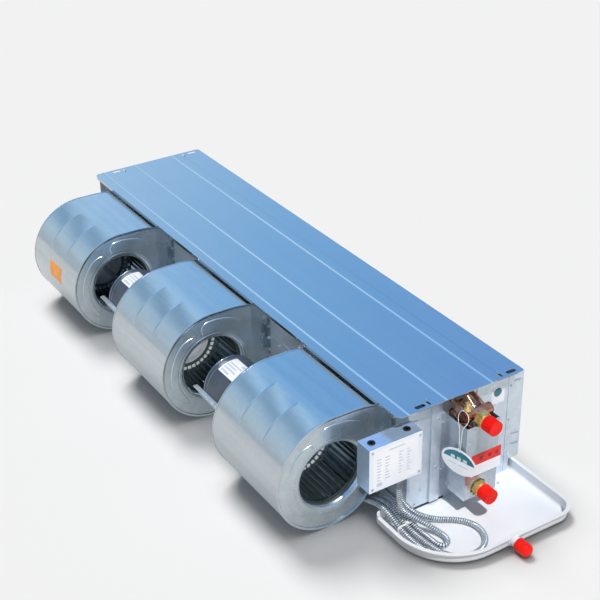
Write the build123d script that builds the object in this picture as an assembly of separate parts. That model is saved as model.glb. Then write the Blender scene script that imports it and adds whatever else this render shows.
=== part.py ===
from build123d import *
import math
import os

# Ceiling fan coil unit: a flat galvanised casing with a water coil in it, three
# double inlet scroll blowers on its back, and a drain pan that reaches past the
# piping end. Millimetres, +Z up. The model is worked out in the casing's frame:
# X from the far end of the top panel to the piping end, Y from the panel's blower
# side edge to the outlet side, Z from the surface that the unit stands on.

# Casing
panel_length = 1281.0
panel_width = 292.0
unit_height = 248.0
sheet = 1.2
panel_lip = 7.0
panel_corner = 14.0
panel_back_corner = 8.0
end_overhang = 25.0
deck_y = 41.0
casing_back_y = 277.0
flange_width = 12.0
bead_height = 1.0
bead_width = 6.0
bead_places = (23.0, 109.0, 214.0)
hanger_slot_length = 22.0
hanger_slot_width = 9.0
hanger_slot_places = (55.0, 267.0)
hanger_slot_inset = 11.0
small_slot_length = 12.0
small_slot_width = 4.5
small_slot_places = (75.0, 242.0)
small_slot_inset = 12.0
post_place = 92.0
post_width = 22.0
post_height = 5.0
post_foot = 8.5

# Outlet collar
collar_reach = 39.0
collar_margin = 0.5
collar_over_pan = 2.0
collar_head_room = 22.0
collar_high = unit_height - collar_head_room
collar_tab = 13.0

# Drain pan
pan_overhang = 8.5
pan_front_y = 31.0
pan_back_y = 299.5
pan_wing_x = panel_length - 37.0
pan_wing_reach = 194.0
pan_end_x = pan_wing_x + pan_wing_reach
pan_wing_y = -24.0
pan_wall = 2.5
pan_height = 25.0
pan_corner = 34.0
pan_wing_corner = 0.608 * pan_wing_reach
pan_foot_radius = 8.0
pan_rim = 5.0
spout_y = 150.0
spout_height = 15.0
spout_radius = 10.5
spout_bore = 8.0
spout_length = 22.0
spout_collar_radius = 12.8
spout_collar_length = 2.5
drain_cap_radius = 12.8
drain_cap_length = 30.0
drain_cap_cover = 8.0
cap_clearance = 0.35

# Coil
coil_front_y = 130.0
coil_rows = 3
coil_row_pitch = 22.0
coil_tubes_high = 8
coil_tube_radius = 4.8
coil_low = 34.0
coil_head_room = 10.8
fin_high = unit_height - coil_head_room
coil_tube_pitch = (fin_high - coil_low) / coil_tubes_high
first_tube_height = 0.47 * coil_tube_pitch
sheet_border = 6.0
opening_border = 5.0
header_radius = 11.0
header_reach = 45.0
header_length = 62.0
union_y = 158.0
union_low = coil_low + 24.0
union_high = fin_high - 25.2
union_hex_flats = 29.0
union_hex_start = 6.0
union_hex_length = 14.0
union_thread_radius = 13.0
union_thread_length = 22.0
union_bore = 9.5
pipe_cap_radius = 15.3
pipe_cap_length = 25.0
pipe_cap_start = 5.0
pipe_cap_floor = 3.0
cap_ribs = 18
feeder_stub = 10.0
feeder_bend = 8.0
vent_radius = 5.0
vent_place = 10.0
vent_height = 20.0
vent_nut_height = 6.0
vent_screw_radius = 2.2
vent_screw_length = 12.0

# Coil cover
cover_depth = 66.0
cover_low = coil_low + 3.0
cover_high = unit_height - 48.0
cover_sheet = 1.0
cover_ear = 9.0
cover_cutaway = 14.0
union_clear_radius = 17.5

# Blowers
blower_width = 238.0
blower_places = [share * panel_length for share in (0.1624, 0.5012, 0.8486)]
shaft_y = -90.6
scroll_start_radius = 0.4476 * unit_height
scroll_growth = 0.0365
tongue_angle = 318.0
spiral_arcs = 6
scroll_sheet = 1.0
seam_width = 5.0
seat_clearance = 0.2
crest_flat_y = -53.0
neck_radius = 254.0
inlet_throat = 67.0
inlet_roll = 12.0
inlet_lip = 3.0
deck_flange = 12.0
deck_flange_inset = 10.0

# Fan wheels
wheel_radius = 80.0
wheel_inner_radius = 67.0
wheel_end_gap = 20.0
wheel_length = blower_width - 2.0 * wheel_end_gap
blade_count = 36
blade_lean = 6.5
blade_bow = 1.0
blade_slice = 0.75
ring_thickness = 2.0
disc_thickness = 1.5
disc_hole = 6.0
hub_radius = 15.0
hub_length = 34.0
hub_plate_radius = 50.0
hub_plate_thickness = 2.0
shaft_radius = 6.0
bore_clearance = 0.03

# Motors
motor_radius = 60.0
motor_length = 94.0
motor_places = [share * panel_length for share in (0.3318, 0.6807)]
motor_wall = 2.0
motor_dish = 4.0
motor_rim = 4.0
boss_radius = 21.0
boss_reach = 6.0
bearing_radius = 16.0
bearing_width = 10.0
stator_length = 52.0
stator_bore = 31.0
rotor_gap = 0.5
shaft_stub = 16.0

# Motor brackets
cradle_wall = 2.0
cradle_clearance = 0.3
cradle_overhang = 28.0
cradle_lip = 8.0
bracket_rise = 44.0
bracket_drop = 26.0

# Junction box
box_width = 116.0
box_height = 94.0
box_depth = 39.0
box_y = -73.0
box_head_room = 32.0
box_low = unit_height - box_head_room - box_height
box_sheet = 1.0
terminal_depth = 17.0
terminal_length = 62.0
terminal_height = 18.0
terminal_inset = 14.0
terminal_rise = 26.0
terminal_ways = 6
capacitor_depth = 24.0
capacitor_length = 40.0
capacitor_height = 24.0
capacitor_inset = 10.0
capacitor_gap = 8.0
capacitor_rise = 58.0
bracket_ear_overlap = 24.0
bracket_ear_inset = 8.0
grommet_radius = 7.5
grommet_hole = 4.5
grommet_places = (17.0, 95.0)
box_gland_places = ((31.0, 71.0), (9.0, 85.0))
gland_radius = 8.5
gland_length = 17.0

# Conduits
conduit_radius = 5.75
lie_clearance = 0.15
ferrule_radius = 6.3
ferrule_length = 10.0
tie_x = panel_length + 19.0
tie_width = 4.0
tie_wall = 1.4
tie_low_y = -9.9
tie_high_y = 29.4
tie_low_z = 7.2
tie_high_z = 22.0
route_bend_share = 0.45

casing_x0 = end_overhang
casing_x1 = panel_length - end_overhang
panel_under = unit_height - sheet
shaft_point_angle = 180.0 + math.degrees(math.atan(1.0 / scroll_growth))


def scroll_radius(angle):
    """Radius of the scroll's outside at an angle seen from the piping end."""
    return scroll_start_radius * math.exp(scroll_growth * math.radians(tongue_angle - angle))


# The scrolls stand on the same surface as the pan.
shaft_z = -scroll_radius(shaft_point_angle) * math.sin(math.radians(shaft_point_angle))
crest_angle = shaft_point_angle - 180.0

# The finished unit's origin is under the middle of its box, on that surface.
overall_x1 = pan_end_x + spout_length - drain_cap_cover + drain_cap_length
scroll_front_y = shaft_y + min(
    (scroll_radius(a) * math.cos(math.radians(a)) for a in range(160, 200)))
collar_end_y = casing_back_y + collar_reach
home = Location((-overall_x1 / 2.0, -(scroll_front_y + collar_end_y) / 2.0, 0.0))

os.makedirs("parts", exist_ok=True)


def write(name, *solids):
    """Write one node, moved to the finished unit's origin."""
    placed = [home * solid for item in solids for solid in item.solids()]
    node = placed[0] if len(placed) == 1 else Compound(placed)
    export_step(node, "parts/" + name + ".step")


def block(x0, x1, y0, y1, z0, z1):
    """A box between two corners."""
    centre = Pos((x0 + x1) / 2.0, (y0 + y1) / 2.0, (z0 + z1) / 2.0)
    return centre * Box(x1 - x0, y1 - y0, z1 - z0)


def across(x):
    """The plane across the unit at x, with Y to the right and Z up."""
    return Plane(origin=(x, 0, 0), x_dir=(0, 1, 0), z_dir=(1, 0, 0))


def drum(x0, x1, y, z, radius, bore=0.0):
    """A cylinder or tube along X."""
    face = Circle(radius)
    if bore:
        face -= Circle(bore)
    return extrude(across(x0) * Pos(y, z) * face, x1 - x0)


def turned(x, y, z, points):
    """A solid turned about a line along X: points are distances along it and radii."""
    half = Plane(origin=(x, y, z), x_dir=(1, 0, 0), z_dir=(0, -1, 0))
    face = half * make_face(Polyline(*points, close=True))
    return revolve(face, Axis((x, y, z), (1, 0, 0)))


# Top panel with three shallow beads, lips on its long sides and slots at its ends

def make_top_panel():
    top = [(0.0, unit_height)]
    for place in bead_places:
        top += [(place - bead_width / 2.0, unit_height), (place, unit_height + bead_height),
                (place + bead_width / 2.0, unit_height)]
    top.append((panel_width, unit_height))
    under = [(y, z - sheet) for y, z in reversed(top)]
    skin = extrude(across(0) * make_face(Polyline(*top, *under, close=True)), panel_length)
    for y, corner in ((0.0, panel_corner), (panel_width - sheet, panel_back_corner)):
        skin += block(corner, panel_length - corner, y, y + sheet,
                      unit_height - panel_lip, panel_under + sheet / 2.0)
    outline = Pos(panel_length / 2.0, panel_width / 2.0) * Rectangle(panel_length, panel_width)
    outline = fillet(outline.vertices().group_by(Axis.Y)[0], panel_corner)
    outline = fillet(outline.vertices().group_by(Axis.Y)[-1], panel_back_corner)
    skin &= extrude(outline, unit_height + 2.0 * bead_height)
    cuts = []
    for x in (hanger_slot_inset, panel_length - hanger_slot_inset):
        for y in hanger_slot_places:
            slot = Rot(0, 0, 90) * SlotOverall(hanger_slot_length, hanger_slot_width)
            cuts.append(extrude(Pos(x, y, panel_under - 1.0) * slot, sheet + 3.0))
    for x in (small_slot_inset, panel_length - small_slot_inset):
        for y in small_slot_places:
            slot = SlotOverall(small_slot_length, small_slot_width)
            cuts.append(extrude(Pos(x, y, panel_under - 1.0) * slot, sheet + 3.0))
    return skin - cuts


# Scroll outline, in the plane across the unit

def scroll_point(angle, inset):
    radius = scroll_radius(angle) - inset
    turn = math.radians(angle)
    return (shaft_y + radius * math.cos(turn), shaft_z + radius * math.sin(turn))


def neck_low(y, inset=0.0):
    """Height of the neck's lower line at y."""
    y0, z0 = scroll_point(tongue_angle, inset)
    slope = -1.0 / math.tan(math.radians(tongue_angle))
    return z0 + (y - y0) * slope


def neck_high(y, inset=0.0):
    """Height of the neck's upper line at y, past the flat crest."""
    crest = scroll_point(crest_angle, inset)[1]
    radius = neck_radius - inset
    return crest - radius + math.sqrt(radius ** 2 - (y - crest_flat_y) ** 2)


def scroll_face(inset, end_y):
    """The scroll's outline, set in by a distance and closed by a line at end_y."""
    step = (crest_angle - tongue_angle) / spiral_arcs
    starts = [tongue_angle + step * i for i in range(spiral_arcs)]
    spiral = [ThreePointArc(scroll_point(a, inset), scroll_point(a + step / 2.0, inset),
                            scroll_point(a + step, inset)) for a in starts]
    tongue = scroll_point(tongue_angle, inset)
    crest = scroll_point(crest_angle, inset)
    flat_end = (crest_flat_y, crest[1])
    middle_y = (crest_flat_y + end_y) / 2.0
    top_end = (end_y, neck_high(end_y, inset))
    low_end = (end_y, neck_low(end_y, inset))
    edges = [
        Line(low_end, tongue),
        *spiral,
        Line(crest, flat_end),
        ThreePointArc(flat_end, (middle_y, neck_high(middle_y, inset)), top_end),
        Line(top_end, low_end),
    ]
    return make_face(Wire(edges))


def make_scroll_wrap(middle):
    x0 = middle - blower_width / 2.0
    x1 = middle + blower_width / 2.0
    hollow = scroll_face(scroll_sheet, deck_y + sheet)
    wrap = extrude(across(x0) * scroll_face(0.0, deck_y), blower_width)
    wrap -= extrude(across(x0 + scroll_sheet) * hollow, blower_width - 2.0 * scroll_sheet)
    mouth = scroll_face(seam_width, deck_y + sheet)
    wrap -= extrude(across(x0 - 1.0) * mouth, blower_width + 2.0)
    return wrap


def make_side_plate(middle, side):
    """One pressed side of a blower with its rolled inlet; side is -1 or 1 along X."""
    outer = middle + side * (blower_width / 2.0 - scroll_sheet)
    base = min(outer, outer - side * scroll_sheet)
    roll_radius = inlet_throat + inlet_roll
    face = scroll_face(scroll_sheet + seat_clearance, deck_y) - Pos(shaft_y, shaft_z) * Circle(roll_radius)
    plate = extrude(across(base) * face, scroll_sheet)
    corner = inlet_roll * math.sqrt(0.5)
    thin = inlet_roll - scroll_sheet
    thin_corner = thin * math.sqrt(0.5)
    half = Plane(origin=(outer, shaft_y, shaft_z), x_dir=(-side, 0, 0), z_dir=(0, side, 0))
    roll = make_face(Wire([
        ThreePointArc((0, roll_radius), (inlet_roll - corner, roll_radius - corner),
                      (inlet_roll, inlet_throat)),
        *Polyline((inlet_roll, inlet_throat), (inlet_roll + inlet_lip, inlet_throat),
                  (inlet_roll + inlet_lip, inlet_throat + scroll_sheet),
                  (inlet_roll, inlet_throat + scroll_sheet)).edges(),
        ThreePointArc((inlet_roll, inlet_throat + scroll_sheet),
                      (inlet_roll - thin_corner, roll_radius - thin_corner),
                      (scroll_sheet, roll_radius)),
        Line((scroll_sheet, roll_radius), (0, roll_radius)),
    ]))
    plate += revolve(half * roll, Axis((outer, shaft_y, shaft_z), (1, 0, 0)))
    tip = outer + side * deck_flange
    plate += block(min(tip, base), max(tip, base + scroll_sheet), deck_y - scroll_sheet, deck_y,
                   neck_low(deck_y) + deck_flange_inset, neck_high(deck_y) - deck_flange_inset)
    return plate


def make_fan_wheel(middle):
    """Forward curved wheel: blades run through a punched middle disc to two end rings."""
    inner = wheel_inner_radius
    outer = wheel_radius - 0.7

    def spot(radius, angle):
        return (radius * math.cos(math.radians(angle)), radius * math.sin(math.radians(angle)))

    waist = (inner + outer) / 2.0
    edges = Wire([
        ThreePointArc(spot(inner, 0), spot(waist, -blade_bow), spot(outer, -blade_lean)),
        Line(spot(outer, -blade_lean), spot(outer, -blade_lean + blade_slice)),
        ThreePointArc(spot(outer, -blade_lean + blade_slice), spot(waist, blade_slice - blade_bow),
                      spot(inner, blade_slice)),
        Line(spot(inner, blade_slice), spot(inner, 0)),
    ])
    blade = make_face(edges)
    start = middle - wheel_length / 2.0
    pitch = 360.0 / blade_count
    place = across(start) * Pos(shaft_y, shaft_z)
    blades = [extrude(place * Rot(0, 0, i * pitch) * blade, wheel_length) for i in range(blade_count)]
    disc = drum(middle - disc_thickness / 2.0, middle + disc_thickness / 2.0, shaft_y, shaft_z,
                wheel_radius, hub_radius + seat_clearance)
    holes = [
        extrude(across(middle - disc_thickness) * Pos(shaft_y, shaft_z) * Rot(0, 0, (i + 0.5) * pitch - 2.0)
                * Pos(waist - 1.0, 0) * Rectangle(disc_hole, disc_hole), 2.0 * disc_thickness)
        for i in range(blade_count)]
    disc -= holes
    rings = [drum(x, x + ring_thickness, shaft_y, shaft_z, wheel_radius, wheel_inner_radius - 0.5)
             for x in (start, start + wheel_length - ring_thickness)]
    return disc + rings + blades


def make_wheel_hub(middle, side):
    """Hub with a pressed plate that lies on the wheel's disc; side is where its plate is."""
    bore = shaft_radius + bore_clearance
    hub = drum(middle - hub_length / 2.0, middle + hub_length / 2.0, shaft_y, shaft_z, hub_radius, bore)
    face = middle + side * disc_thickness / 2.0
    back = face + side * hub_plate_thickness
    hub += drum(min(face, back), max(face, back), shaft_y, shaft_z, hub_plate_radius, bore)
    screw_x = middle + side * (hub_length / 2.0 - 5.0)
    hole = Pos(screw_x, shaft_y, shaft_z + hub_radius / 2.0 + shaft_radius / 2.0)
    return hub - hole * Cylinder(2.5, hub_radius)


# Motors

def make_motor_shell(middle):
    """Pressed steel shell with dished ends, rolled rims and a bearing boss at each end."""
    half = motor_length / 2.0
    bore = shaft_radius + 1.0
    pocket = bearing_radius + bore_clearance
    boss_end = half - motor_dish + boss_reach
    outside = [
        (-boss_end, bore), (-boss_end, boss_radius), (-half + motor_dish, boss_radius + 2.0),
        (-half + motor_dish, motor_radius - motor_rim - 3.0), (-half, motor_radius - motor_rim),
        (-half, motor_radius), (half, motor_radius), (half, motor_radius - motor_rim),
        (half - motor_dish, motor_radius - motor_rim - 3.0), (half - motor_dish, boss_radius + 2.0),
        (boss_end, boss_radius), (boss_end, bore),
    ]
    wall = motor_wall
    seat = boss_end - wall
    inside = [
        (seat, bore), (seat, pocket), (seat - bearing_width, pocket),
        (seat - bearing_width, boss_radius), (half - motor_dish - wall, boss_radius),
        (half - motor_dish - wall, motor_radius - wall - motor_rim),
        (half - motor_rim - wall, motor_radius - wall),
    ]
    mirrored = [(-x, r) for x, r in reversed(inside)]
    return turned(middle, shaft_y, shaft_z, outside + inside + mirrored)


def make_motor_bearings(middle):
    end = motor_length / 2.0 - motor_dish + boss_reach - motor_wall
    rings = []
    for x0 in (middle - end, middle + end - bearing_width):
        rings.append(drum(x0, x0 + bearing_width, shaft_y, shaft_z, bearing_radius,
                          shaft_radius + bore_clearance))
    return rings


def make_motor_bracket(middle, gland_places):
    """Cradle under the motor with a lip in front and a bolted flange on the fan deck."""
    inner = motor_radius + cradle_clearance
    outer = inner + cradle_wall
    x0 = middle - motor_length / 2.0 - cradle_overhang
    length = motor_length + 2.0 * cradle_overhang
    cup = Pos(shaft_y, shaft_z) * (Circle(outer) - Circle(inner))
    cup &= Pos(shaft_y, shaft_z - outer / 2.0) * Rectangle(2.2 * outer, outer)
    lip = Pos(shaft_y - outer - cradle_lip / 2.0 + 1.0, shaft_z - cradle_wall / 2.0)
    cup += lip * Rectangle(cradle_lip + 2.0, cradle_wall)
    table_y0 = shaft_y + inner + 0.5
    table = Pos((table_y0 + deck_y) / 2.0, shaft_z - cradle_wall / 2.0)
    cup += table * Rectangle(deck_y - table_y0, cradle_wall)
    flange_z = shaft_z + (bracket_rise - bracket_drop) / 2.0
    cup += Pos(deck_y - cradle_wall / 2.0, flange_z) * Rectangle(cradle_wall, bracket_rise + bracket_drop)
    bracket = extrude(across(x0) * cup, length)
    for x in gland_places:
        bracket -= Pos(x, conduit_lane_y, shaft_z) * Cylinder(gland_radius - 2.0, 4.0 * cradle_wall)
    return bracket


# Coil

tube_rows = [coil_front_y + coil_row_pitch * (i + 0.5) for i in range(coil_rows)]
fin_back_y = coil_front_y + coil_rows * coil_row_pitch
sheet_x = {-1: casing_x0 + sheet, 1: casing_x1 - sheet}
header_x = casing_x1 + header_reach
header_y = (tube_rows[0] + tube_rows[-1] - header_length) / 2.0
vent_foot = union_high + header_radius - 2.0
vent_screw_z = vent_foot + vent_height - 5.0


def tube_height(row, index):
    stagger = coil_tube_pitch / 2.0 if row % 2 else 0.0
    return coil_low + first_tube_height + stagger + coil_tube_pitch * index


def make_return_bend(side, row, index):
    """A hairpin between one tube and the next above it, past the coil's tube sheet."""
    y = tube_rows[row]
    low = tube_height(row, index)
    high = tube_height(row, index + 1)
    start = sheet_x[side]
    knee = start + side * 4.0
    arch = knee + side * coil_tube_pitch / 2.0
    path = Wire([
        Line((start, y, low), (knee, y, low)),
        ThreePointArc((knee, y, low), (arch, y, (low + high) / 2.0), (knee, y, high)),
        Line((knee, y, high), (start, y, high)),
    ])
    ring = Plane(origin=(start, y, low), z_dir=(side, 0, 0)) * Circle(coil_tube_radius)
    return sweep(ring, path)


def make_header(height, index):
    """A copper header with one stub to each row's tube and a socket for its union."""
    x = header_x
    start = Plane(origin=(x, header_y, height), z_dir=(0, 1, 0))
    pipe = extrude(start * Circle(header_radius), header_length)
    for row, y in enumerate(tube_rows):
        tube_z = tube_height(row, index)
        start = (sheet_x[1], y, tube_z)
        knee = (sheet_x[1] + feeder_stub, y, tube_z)
        path = FilletPolyline(start, knee, (x, y, height), radius=feeder_bend)
        pipe += sweep(Plane(origin=start, z_dir=(1, 0, 0)) * Circle(coil_tube_radius), path)
    pipe += drum(x, x + header_radius + union_hex_start, union_y, height, union_bore)
    return pipe


def union_start():
    return casing_x1 + header_reach + header_radius + union_hex_start


def make_union(height):
    x = union_start()
    hexagon = RegularPolygon(union_hex_flats / 2.0, 6, major_radius=False)
    nut = extrude(across(x) * Pos(union_y, height) * hexagon, union_hex_length)
    nut += drum(x + union_hex_length, x + union_hex_length + union_thread_length, union_y, height,
                union_thread_radius)
    depth = union_hex_length + union_thread_length
    return nut - drum(x + 2.0, x + depth + 1.0, union_y, height, union_bore)


def make_pipe_cap(height):
    x = union_start() + union_hex_length + pipe_cap_start
    outline = Circle(pipe_cap_radius - 0.8)
    for i in range(cap_ribs):
        outline += Rot(0, 0, 360.0 * i / cap_ribs) * Pos(pipe_cap_radius - 1.2, 0) * Rectangle(2.4, 2.0)
    cap = extrude(across(x) * Pos(union_y, height) * outline, pipe_cap_length)
    depth = pipe_cap_length - pipe_cap_floor
    return cap - drum(x - 1.0, x + depth, union_y, height, union_thread_radius + cap_clearance)


def make_air_vent():
    """Bleed valve that sits astride the return header."""
    y = header_y + vent_place
    body = Pos(header_x, y, vent_foot + vent_height / 2.0) * Cylinder(vent_radius, vent_height)
    nut = Pos(header_x, y, vent_foot + 4.0) * RegularPolygon(vent_radius + 1.5, 6, major_radius=False)
    body += extrude(nut, vent_nut_height)
    saddle = Plane(origin=(header_x, header_y, union_high), z_dir=(0, 1, 0))
    body -= extrude(saddle * Circle(header_radius + seat_clearance), header_length)
    return body - drum(header_x - 2.0, header_x + vent_radius + 1.0, y, vent_screw_z,
                       vent_screw_radius + bore_clearance)


def make_air_vent_screw():
    x = header_x
    y = header_y + vent_place
    z = vent_screw_z
    screw = drum(x - 2.0, x + vent_screw_length - 3.0, y, z, vent_screw_radius)
    screw += drum(x + vent_screw_length - 3.0, x + vent_screw_length, y, z, vent_screw_radius + 1.8)
    end = x + vent_screw_length
    return screw - block(end - 1.2, end + 1.0, y - 0.5, y + 0.5, z - 6.0, z + 6.0)


def make_coil_cover():
    """Box over the coil's bends and headers, open at its top and against the end plate."""
    x0 = casing_x1
    x1 = casing_x1 + cover_depth
    y0 = coil_front_y - opening_border
    y1 = fin_back_y + opening_border
    t = cover_sheet
    shell = block(x0, x1, y0, y1, cover_low, cover_high)
    shell -= block(x0 - 1.0, x1 - t, y0 + t, y1 - t, cover_low + t, cover_high + 1.0)
    for y in (y0 - cover_ear, y1):
        shell += block(x0, x0 + t, y, y + cover_ear, cover_low + cover_cutaway, cover_high)
    for height in (union_low, union_high):
        shell -= drum(x1 - 4.0 * t, x1 + t, union_y, height, union_clear_radius)
    cut = Plane(origin=(0, y0 - 2.0 * cover_ear, 0), x_dir=(1, 0, 0), z_dir=(0, -1, 0))
    corner = make_face(Polyline((x0 - 1.0, cover_low - 1.0), (x0 + 12.0, cover_low - 1.0),
                                (x0 - 1.0, cover_low + cover_cutaway), close=True))
    return shell - extrude(cut * corner, -(y1 - y0 + 4.0 * cover_ear))


# Drain pan

def pan_outline():
    """The pan's plan: under the whole casing, with a wing past the piping end."""
    x0 = casing_x0 - pan_overhang
    corners = [(x0, pan_front_y), (pan_wing_x, pan_front_y), (pan_wing_x, pan_wing_y),
               (pan_end_x, pan_wing_y), (pan_end_x, pan_back_y), (x0, pan_back_y)]
    radii = [6.0, 6.0, 12.0, pan_wing_corner, pan_corner, 6.0]
    outline = make_face(Polyline(*corners, close=True))
    for (x, y), radius in zip(corners, radii):
        vertex = outline.vertices().sort_by_distance((x, y, 0))[0]
        outline = fillet(vertex, radius)
    return outline


def make_drain_pan():
    body = extrude(pan_outline(), pan_height)
    foot = body.faces().sort_by(Axis.Z)[0].edges()
    body = fillet(foot, pan_foot_radius)
    top = body.faces().sort_by(Axis.Z)[-1]
    body = offset(body, amount=-pan_wall, openings=top)
    rim = offset(pan_outline(), amount=pan_rim) - offset(pan_outline(), amount=-pan_wall / 2.0)
    rim = Pos(0, 0, pan_height - pan_wall) * extrude(rim, pan_wall)
    body += rim & block(0.0, pan_end_x + 2.0 * pan_rim, coil_front_y, collar_end_y, 0.0, pan_height)
    body += rim & block(pan_wing_x + 2.0 * pan_foot_radius, pan_end_x + 2.0 * pan_rim,
                        pan_wing_y - 2.0 * pan_rim, coil_front_y + 1.0, 0.0, pan_height)
    wall_x = pan_end_x - pan_wall
    body += drum(wall_x, pan_end_x + spout_length, spout_y, spout_height, spout_radius)
    body += drum(wall_x, pan_end_x + spout_collar_length, spout_y, spout_height, spout_collar_radius)
    return body - drum(wall_x - 1.0, pan_end_x + spout_length + 1.0, spout_y, spout_height, spout_bore)


def make_drain_cap():
    """Domed cap over the spout's end."""
    x0 = pan_end_x + spout_length - drain_cap_cover
    r = drain_cap_radius
    bore = spout_radius + cap_clearance
    profile = [(0, bore), (0, r), (drain_cap_length - 8.0, r), (drain_cap_length - 4.0, r - 1.5),
               (drain_cap_length - 1.0, r - 5.0), (drain_cap_length, r - 9.0), (drain_cap_length, 0),
               (drain_cap_cover + 2.0, 0), (drain_cap_cover + 2.0, bore)]
    return turned(x0, spout_y, spout_height, profile)


# Casing

def casing_end(side):
    """The outer face of an end plate and the way to the inside."""
    return casing_x0 if side < 0 else casing_x1


def make_end_plate(side):
    outer = casing_end(side)
    inner = outer - side * sheet
    plate = block(min(outer, inner), max(outer, inner), deck_y, casing_back_y, pan_wall, panel_under)
    opening_low = coil_low + first_tube_height - coil_tube_radius - 2.0
    plate -= block(outer - 5.0, outer + 5.0, coil_front_y - opening_border + 1.0,
                   fin_back_y + opening_border - 1.0, opening_low, fin_high + opening_border)
    return plate


def make_end_post(side):
    """Folded strip up the end plate's front part, beside the coil."""
    outer = casing_end(side)
    face = outer + side * post_height
    post = block(min(outer, face), max(outer, face), post_place, post_place + post_width,
                 post_foot, panel_under)
    back = face - side * sheet
    inside = outer - side * 1.0
    hollow = block(min(inside, back), max(inside, back), post_place + sheet,
                   post_place + post_width - sheet, post_foot - 1.0, panel_under + 1.0)
    return post - hollow


def make_fan_deck():
    """Upright plate that carries the blowers, with one mouth for each of them."""
    x0 = casing_x0 + sheet
    x1 = casing_x1 - sheet
    deck = block(x0, x1, deck_y, deck_y + sheet, pan_wall, panel_under)
    deck += block(x0, x1, deck_y, deck_y + flange_width, panel_under - sheet, panel_under)
    deck += block(x0, x1, deck_y, deck_y + flange_width, pan_wall, pan_wall + sheet)
    for middle in blower_places:
        reach = blower_width / 2.0 - 2.0 * scroll_sheet
        deck -= block(middle - reach, middle + reach, deck_y - 1.0, deck_y + 2.0 * sheet,
                      neck_low(deck_y, scroll_sheet), neck_high(deck_y, scroll_sheet))
    return deck


def make_outlet_collar():
    """Back frame of the casing with a duct collar, and a tab below it at each end."""
    collar_low = pan_height + collar_over_pan
    x0 = casing_x0 + sheet
    x1 = casing_x1 - sheet
    frame = block(x0, x1, casing_back_y - sheet, casing_back_y, pan_wall, panel_under)
    frame += block(x0, x1, casing_back_y - flange_width, casing_back_y, pan_wall, pan_wall + sheet)
    frame += block(x0, x1, casing_back_y - flange_width, casing_back_y, panel_under - sheet, panel_under)
    cx0 = x0 + collar_margin
    cx1 = x1 - collar_margin
    frame += block(cx0, cx1, casing_back_y - sheet, collar_end_y, collar_low, collar_high)
    for x in (cx0, cx1 - sheet):
        frame += block(x, x + sheet, casing_back_y - sheet, casing_back_y + collar_tab,
                       pan_wall, collar_low + sheet)
    return frame - block(cx0 + sheet, cx1 - sheet, casing_back_y - 2.0 * sheet,
                         collar_end_y + 1.0, collar_low + sheet, collar_high - sheet)


# Junction box

box_back = casing_x1 + sheet
box_front = box_back + box_depth
box_high = box_low + box_height


def make_box_bracket():
    """Sheet ear from the end plate that carries the junction box."""
    return block(casing_x1, casing_x1 + sheet, box_y + bracket_ear_inset, deck_y + bracket_ear_overlap,
                 box_low + bracket_ear_inset, box_high - bracket_ear_inset)


def make_junction_box():
    t = box_sheet
    tray = block(box_back, box_front - t, box_y, box_y + box_width, box_low, box_high)
    tray -= block(box_back + t, box_front, box_y + t, box_y + box_width - t, box_low + t, box_high - t)
    for place in grommet_places:
        hole = Pos(box_back + box_depth / 2.0, box_y + place, box_high)
        tray -= hole * Cylinder(grommet_radius - 1.5, 6.0 * t)
    for x, place in box_gland_places:
        tray -= Pos(box_back + x, box_y + place, box_low) * Cylinder(gland_radius - 2.0, 6.0 * t)
    return tray


def make_junction_box_lid():
    t = box_sheet
    return block(box_front - t, box_front, box_y, box_y + box_width, box_low, box_high)


def make_grommets():
    t = box_sheet
    rings = []
    for place in grommet_places:
        middle = Pos(box_back + box_depth / 2.0, box_y + place, box_high)
        ring = middle * Pos(0, 0, 0.9) * Cylinder(grommet_radius, 1.8)
        ring += middle * Pos(0, 0, -t) * Cylinder(grommet_radius - 1.6, 2.0 * t)
        rings.append(ring - middle * Cylinder(grommet_hole, 12.0 * t))
    return rings


def make_terminal_block():
    x0 = box_back + box_sheet
    y0 = box_y + terminal_inset
    z0 = box_low + terminal_rise
    body = block(x0, x0 + terminal_depth, y0, y0 + terminal_length, z0, z0 + terminal_height)
    pitch = terminal_length / terminal_ways
    for i in range(terminal_ways):
        y = y0 + pitch * (i + 0.5)
        body -= block(x0 + 0.65 * terminal_depth, x0 + terminal_depth + 1.0, y - 0.31 * pitch,
                      y + 0.31 * pitch, z0 + 2.5, z0 + terminal_height - 2.5)
    return body


def make_capacitor(index):
    x0 = box_back + box_sheet
    y0 = box_y + capacitor_inset + (capacitor_length + capacitor_gap) * index
    z0 = box_low + capacitor_rise
    return block(x0, x0 + capacitor_depth, y0, y0 + capacitor_length, z0, z0 + capacitor_height)


def make_gland(x, y, top, length):
    """Cable gland with a hexagon, below the sheet that it is fixed in."""
    hexagon = RegularPolygon(gland_radius, 6, major_radius=False)
    body = extrude(Pos(x, y, top - 6.0) * hexagon, 6.0)
    body += Pos(x, y, top - length / 2.0) * Cylinder(gland_radius - 0.8, length)
    return body


# Conduits: routes chosen by hand, in the casing's frame

conduit_lane_y = 10.0
motor_gland_places = [place + 32.0 for place in motor_places]
lead_gland_place = motor_places[1] + 8.0
bracket_glands = ([motor_gland_places[0]], [lead_gland_place, motor_gland_places[1]])
bracket_under = shaft_z - cradle_wall
on_floor = conduit_radius + lie_clearance
on_pan = pan_wall + conduit_radius + lie_clearance
on_ferrule = pan_wall + ferrule_radius + lie_clearance
on_rim = pan_height + conduit_radius + 2.0 * lie_clearance


def below_box(index, drop=0.0):
    """The end of one of the box's glands, or a point below it."""
    x, place = box_gland_places[index]
    return (box_back + x, box_y + place, box_low - gland_length - drop)


def below_bracket(x, drop=0.0):
    """The end of a gland under a motor bracket, or a point below it."""
    return (x, conduit_lane_y, bracket_under - gland_length - drop)


def past_end(reach, y, z):
    """A point of a route, measured along X from the casing's piping end."""
    return (casing_x1 + reach, y, z)


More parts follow.
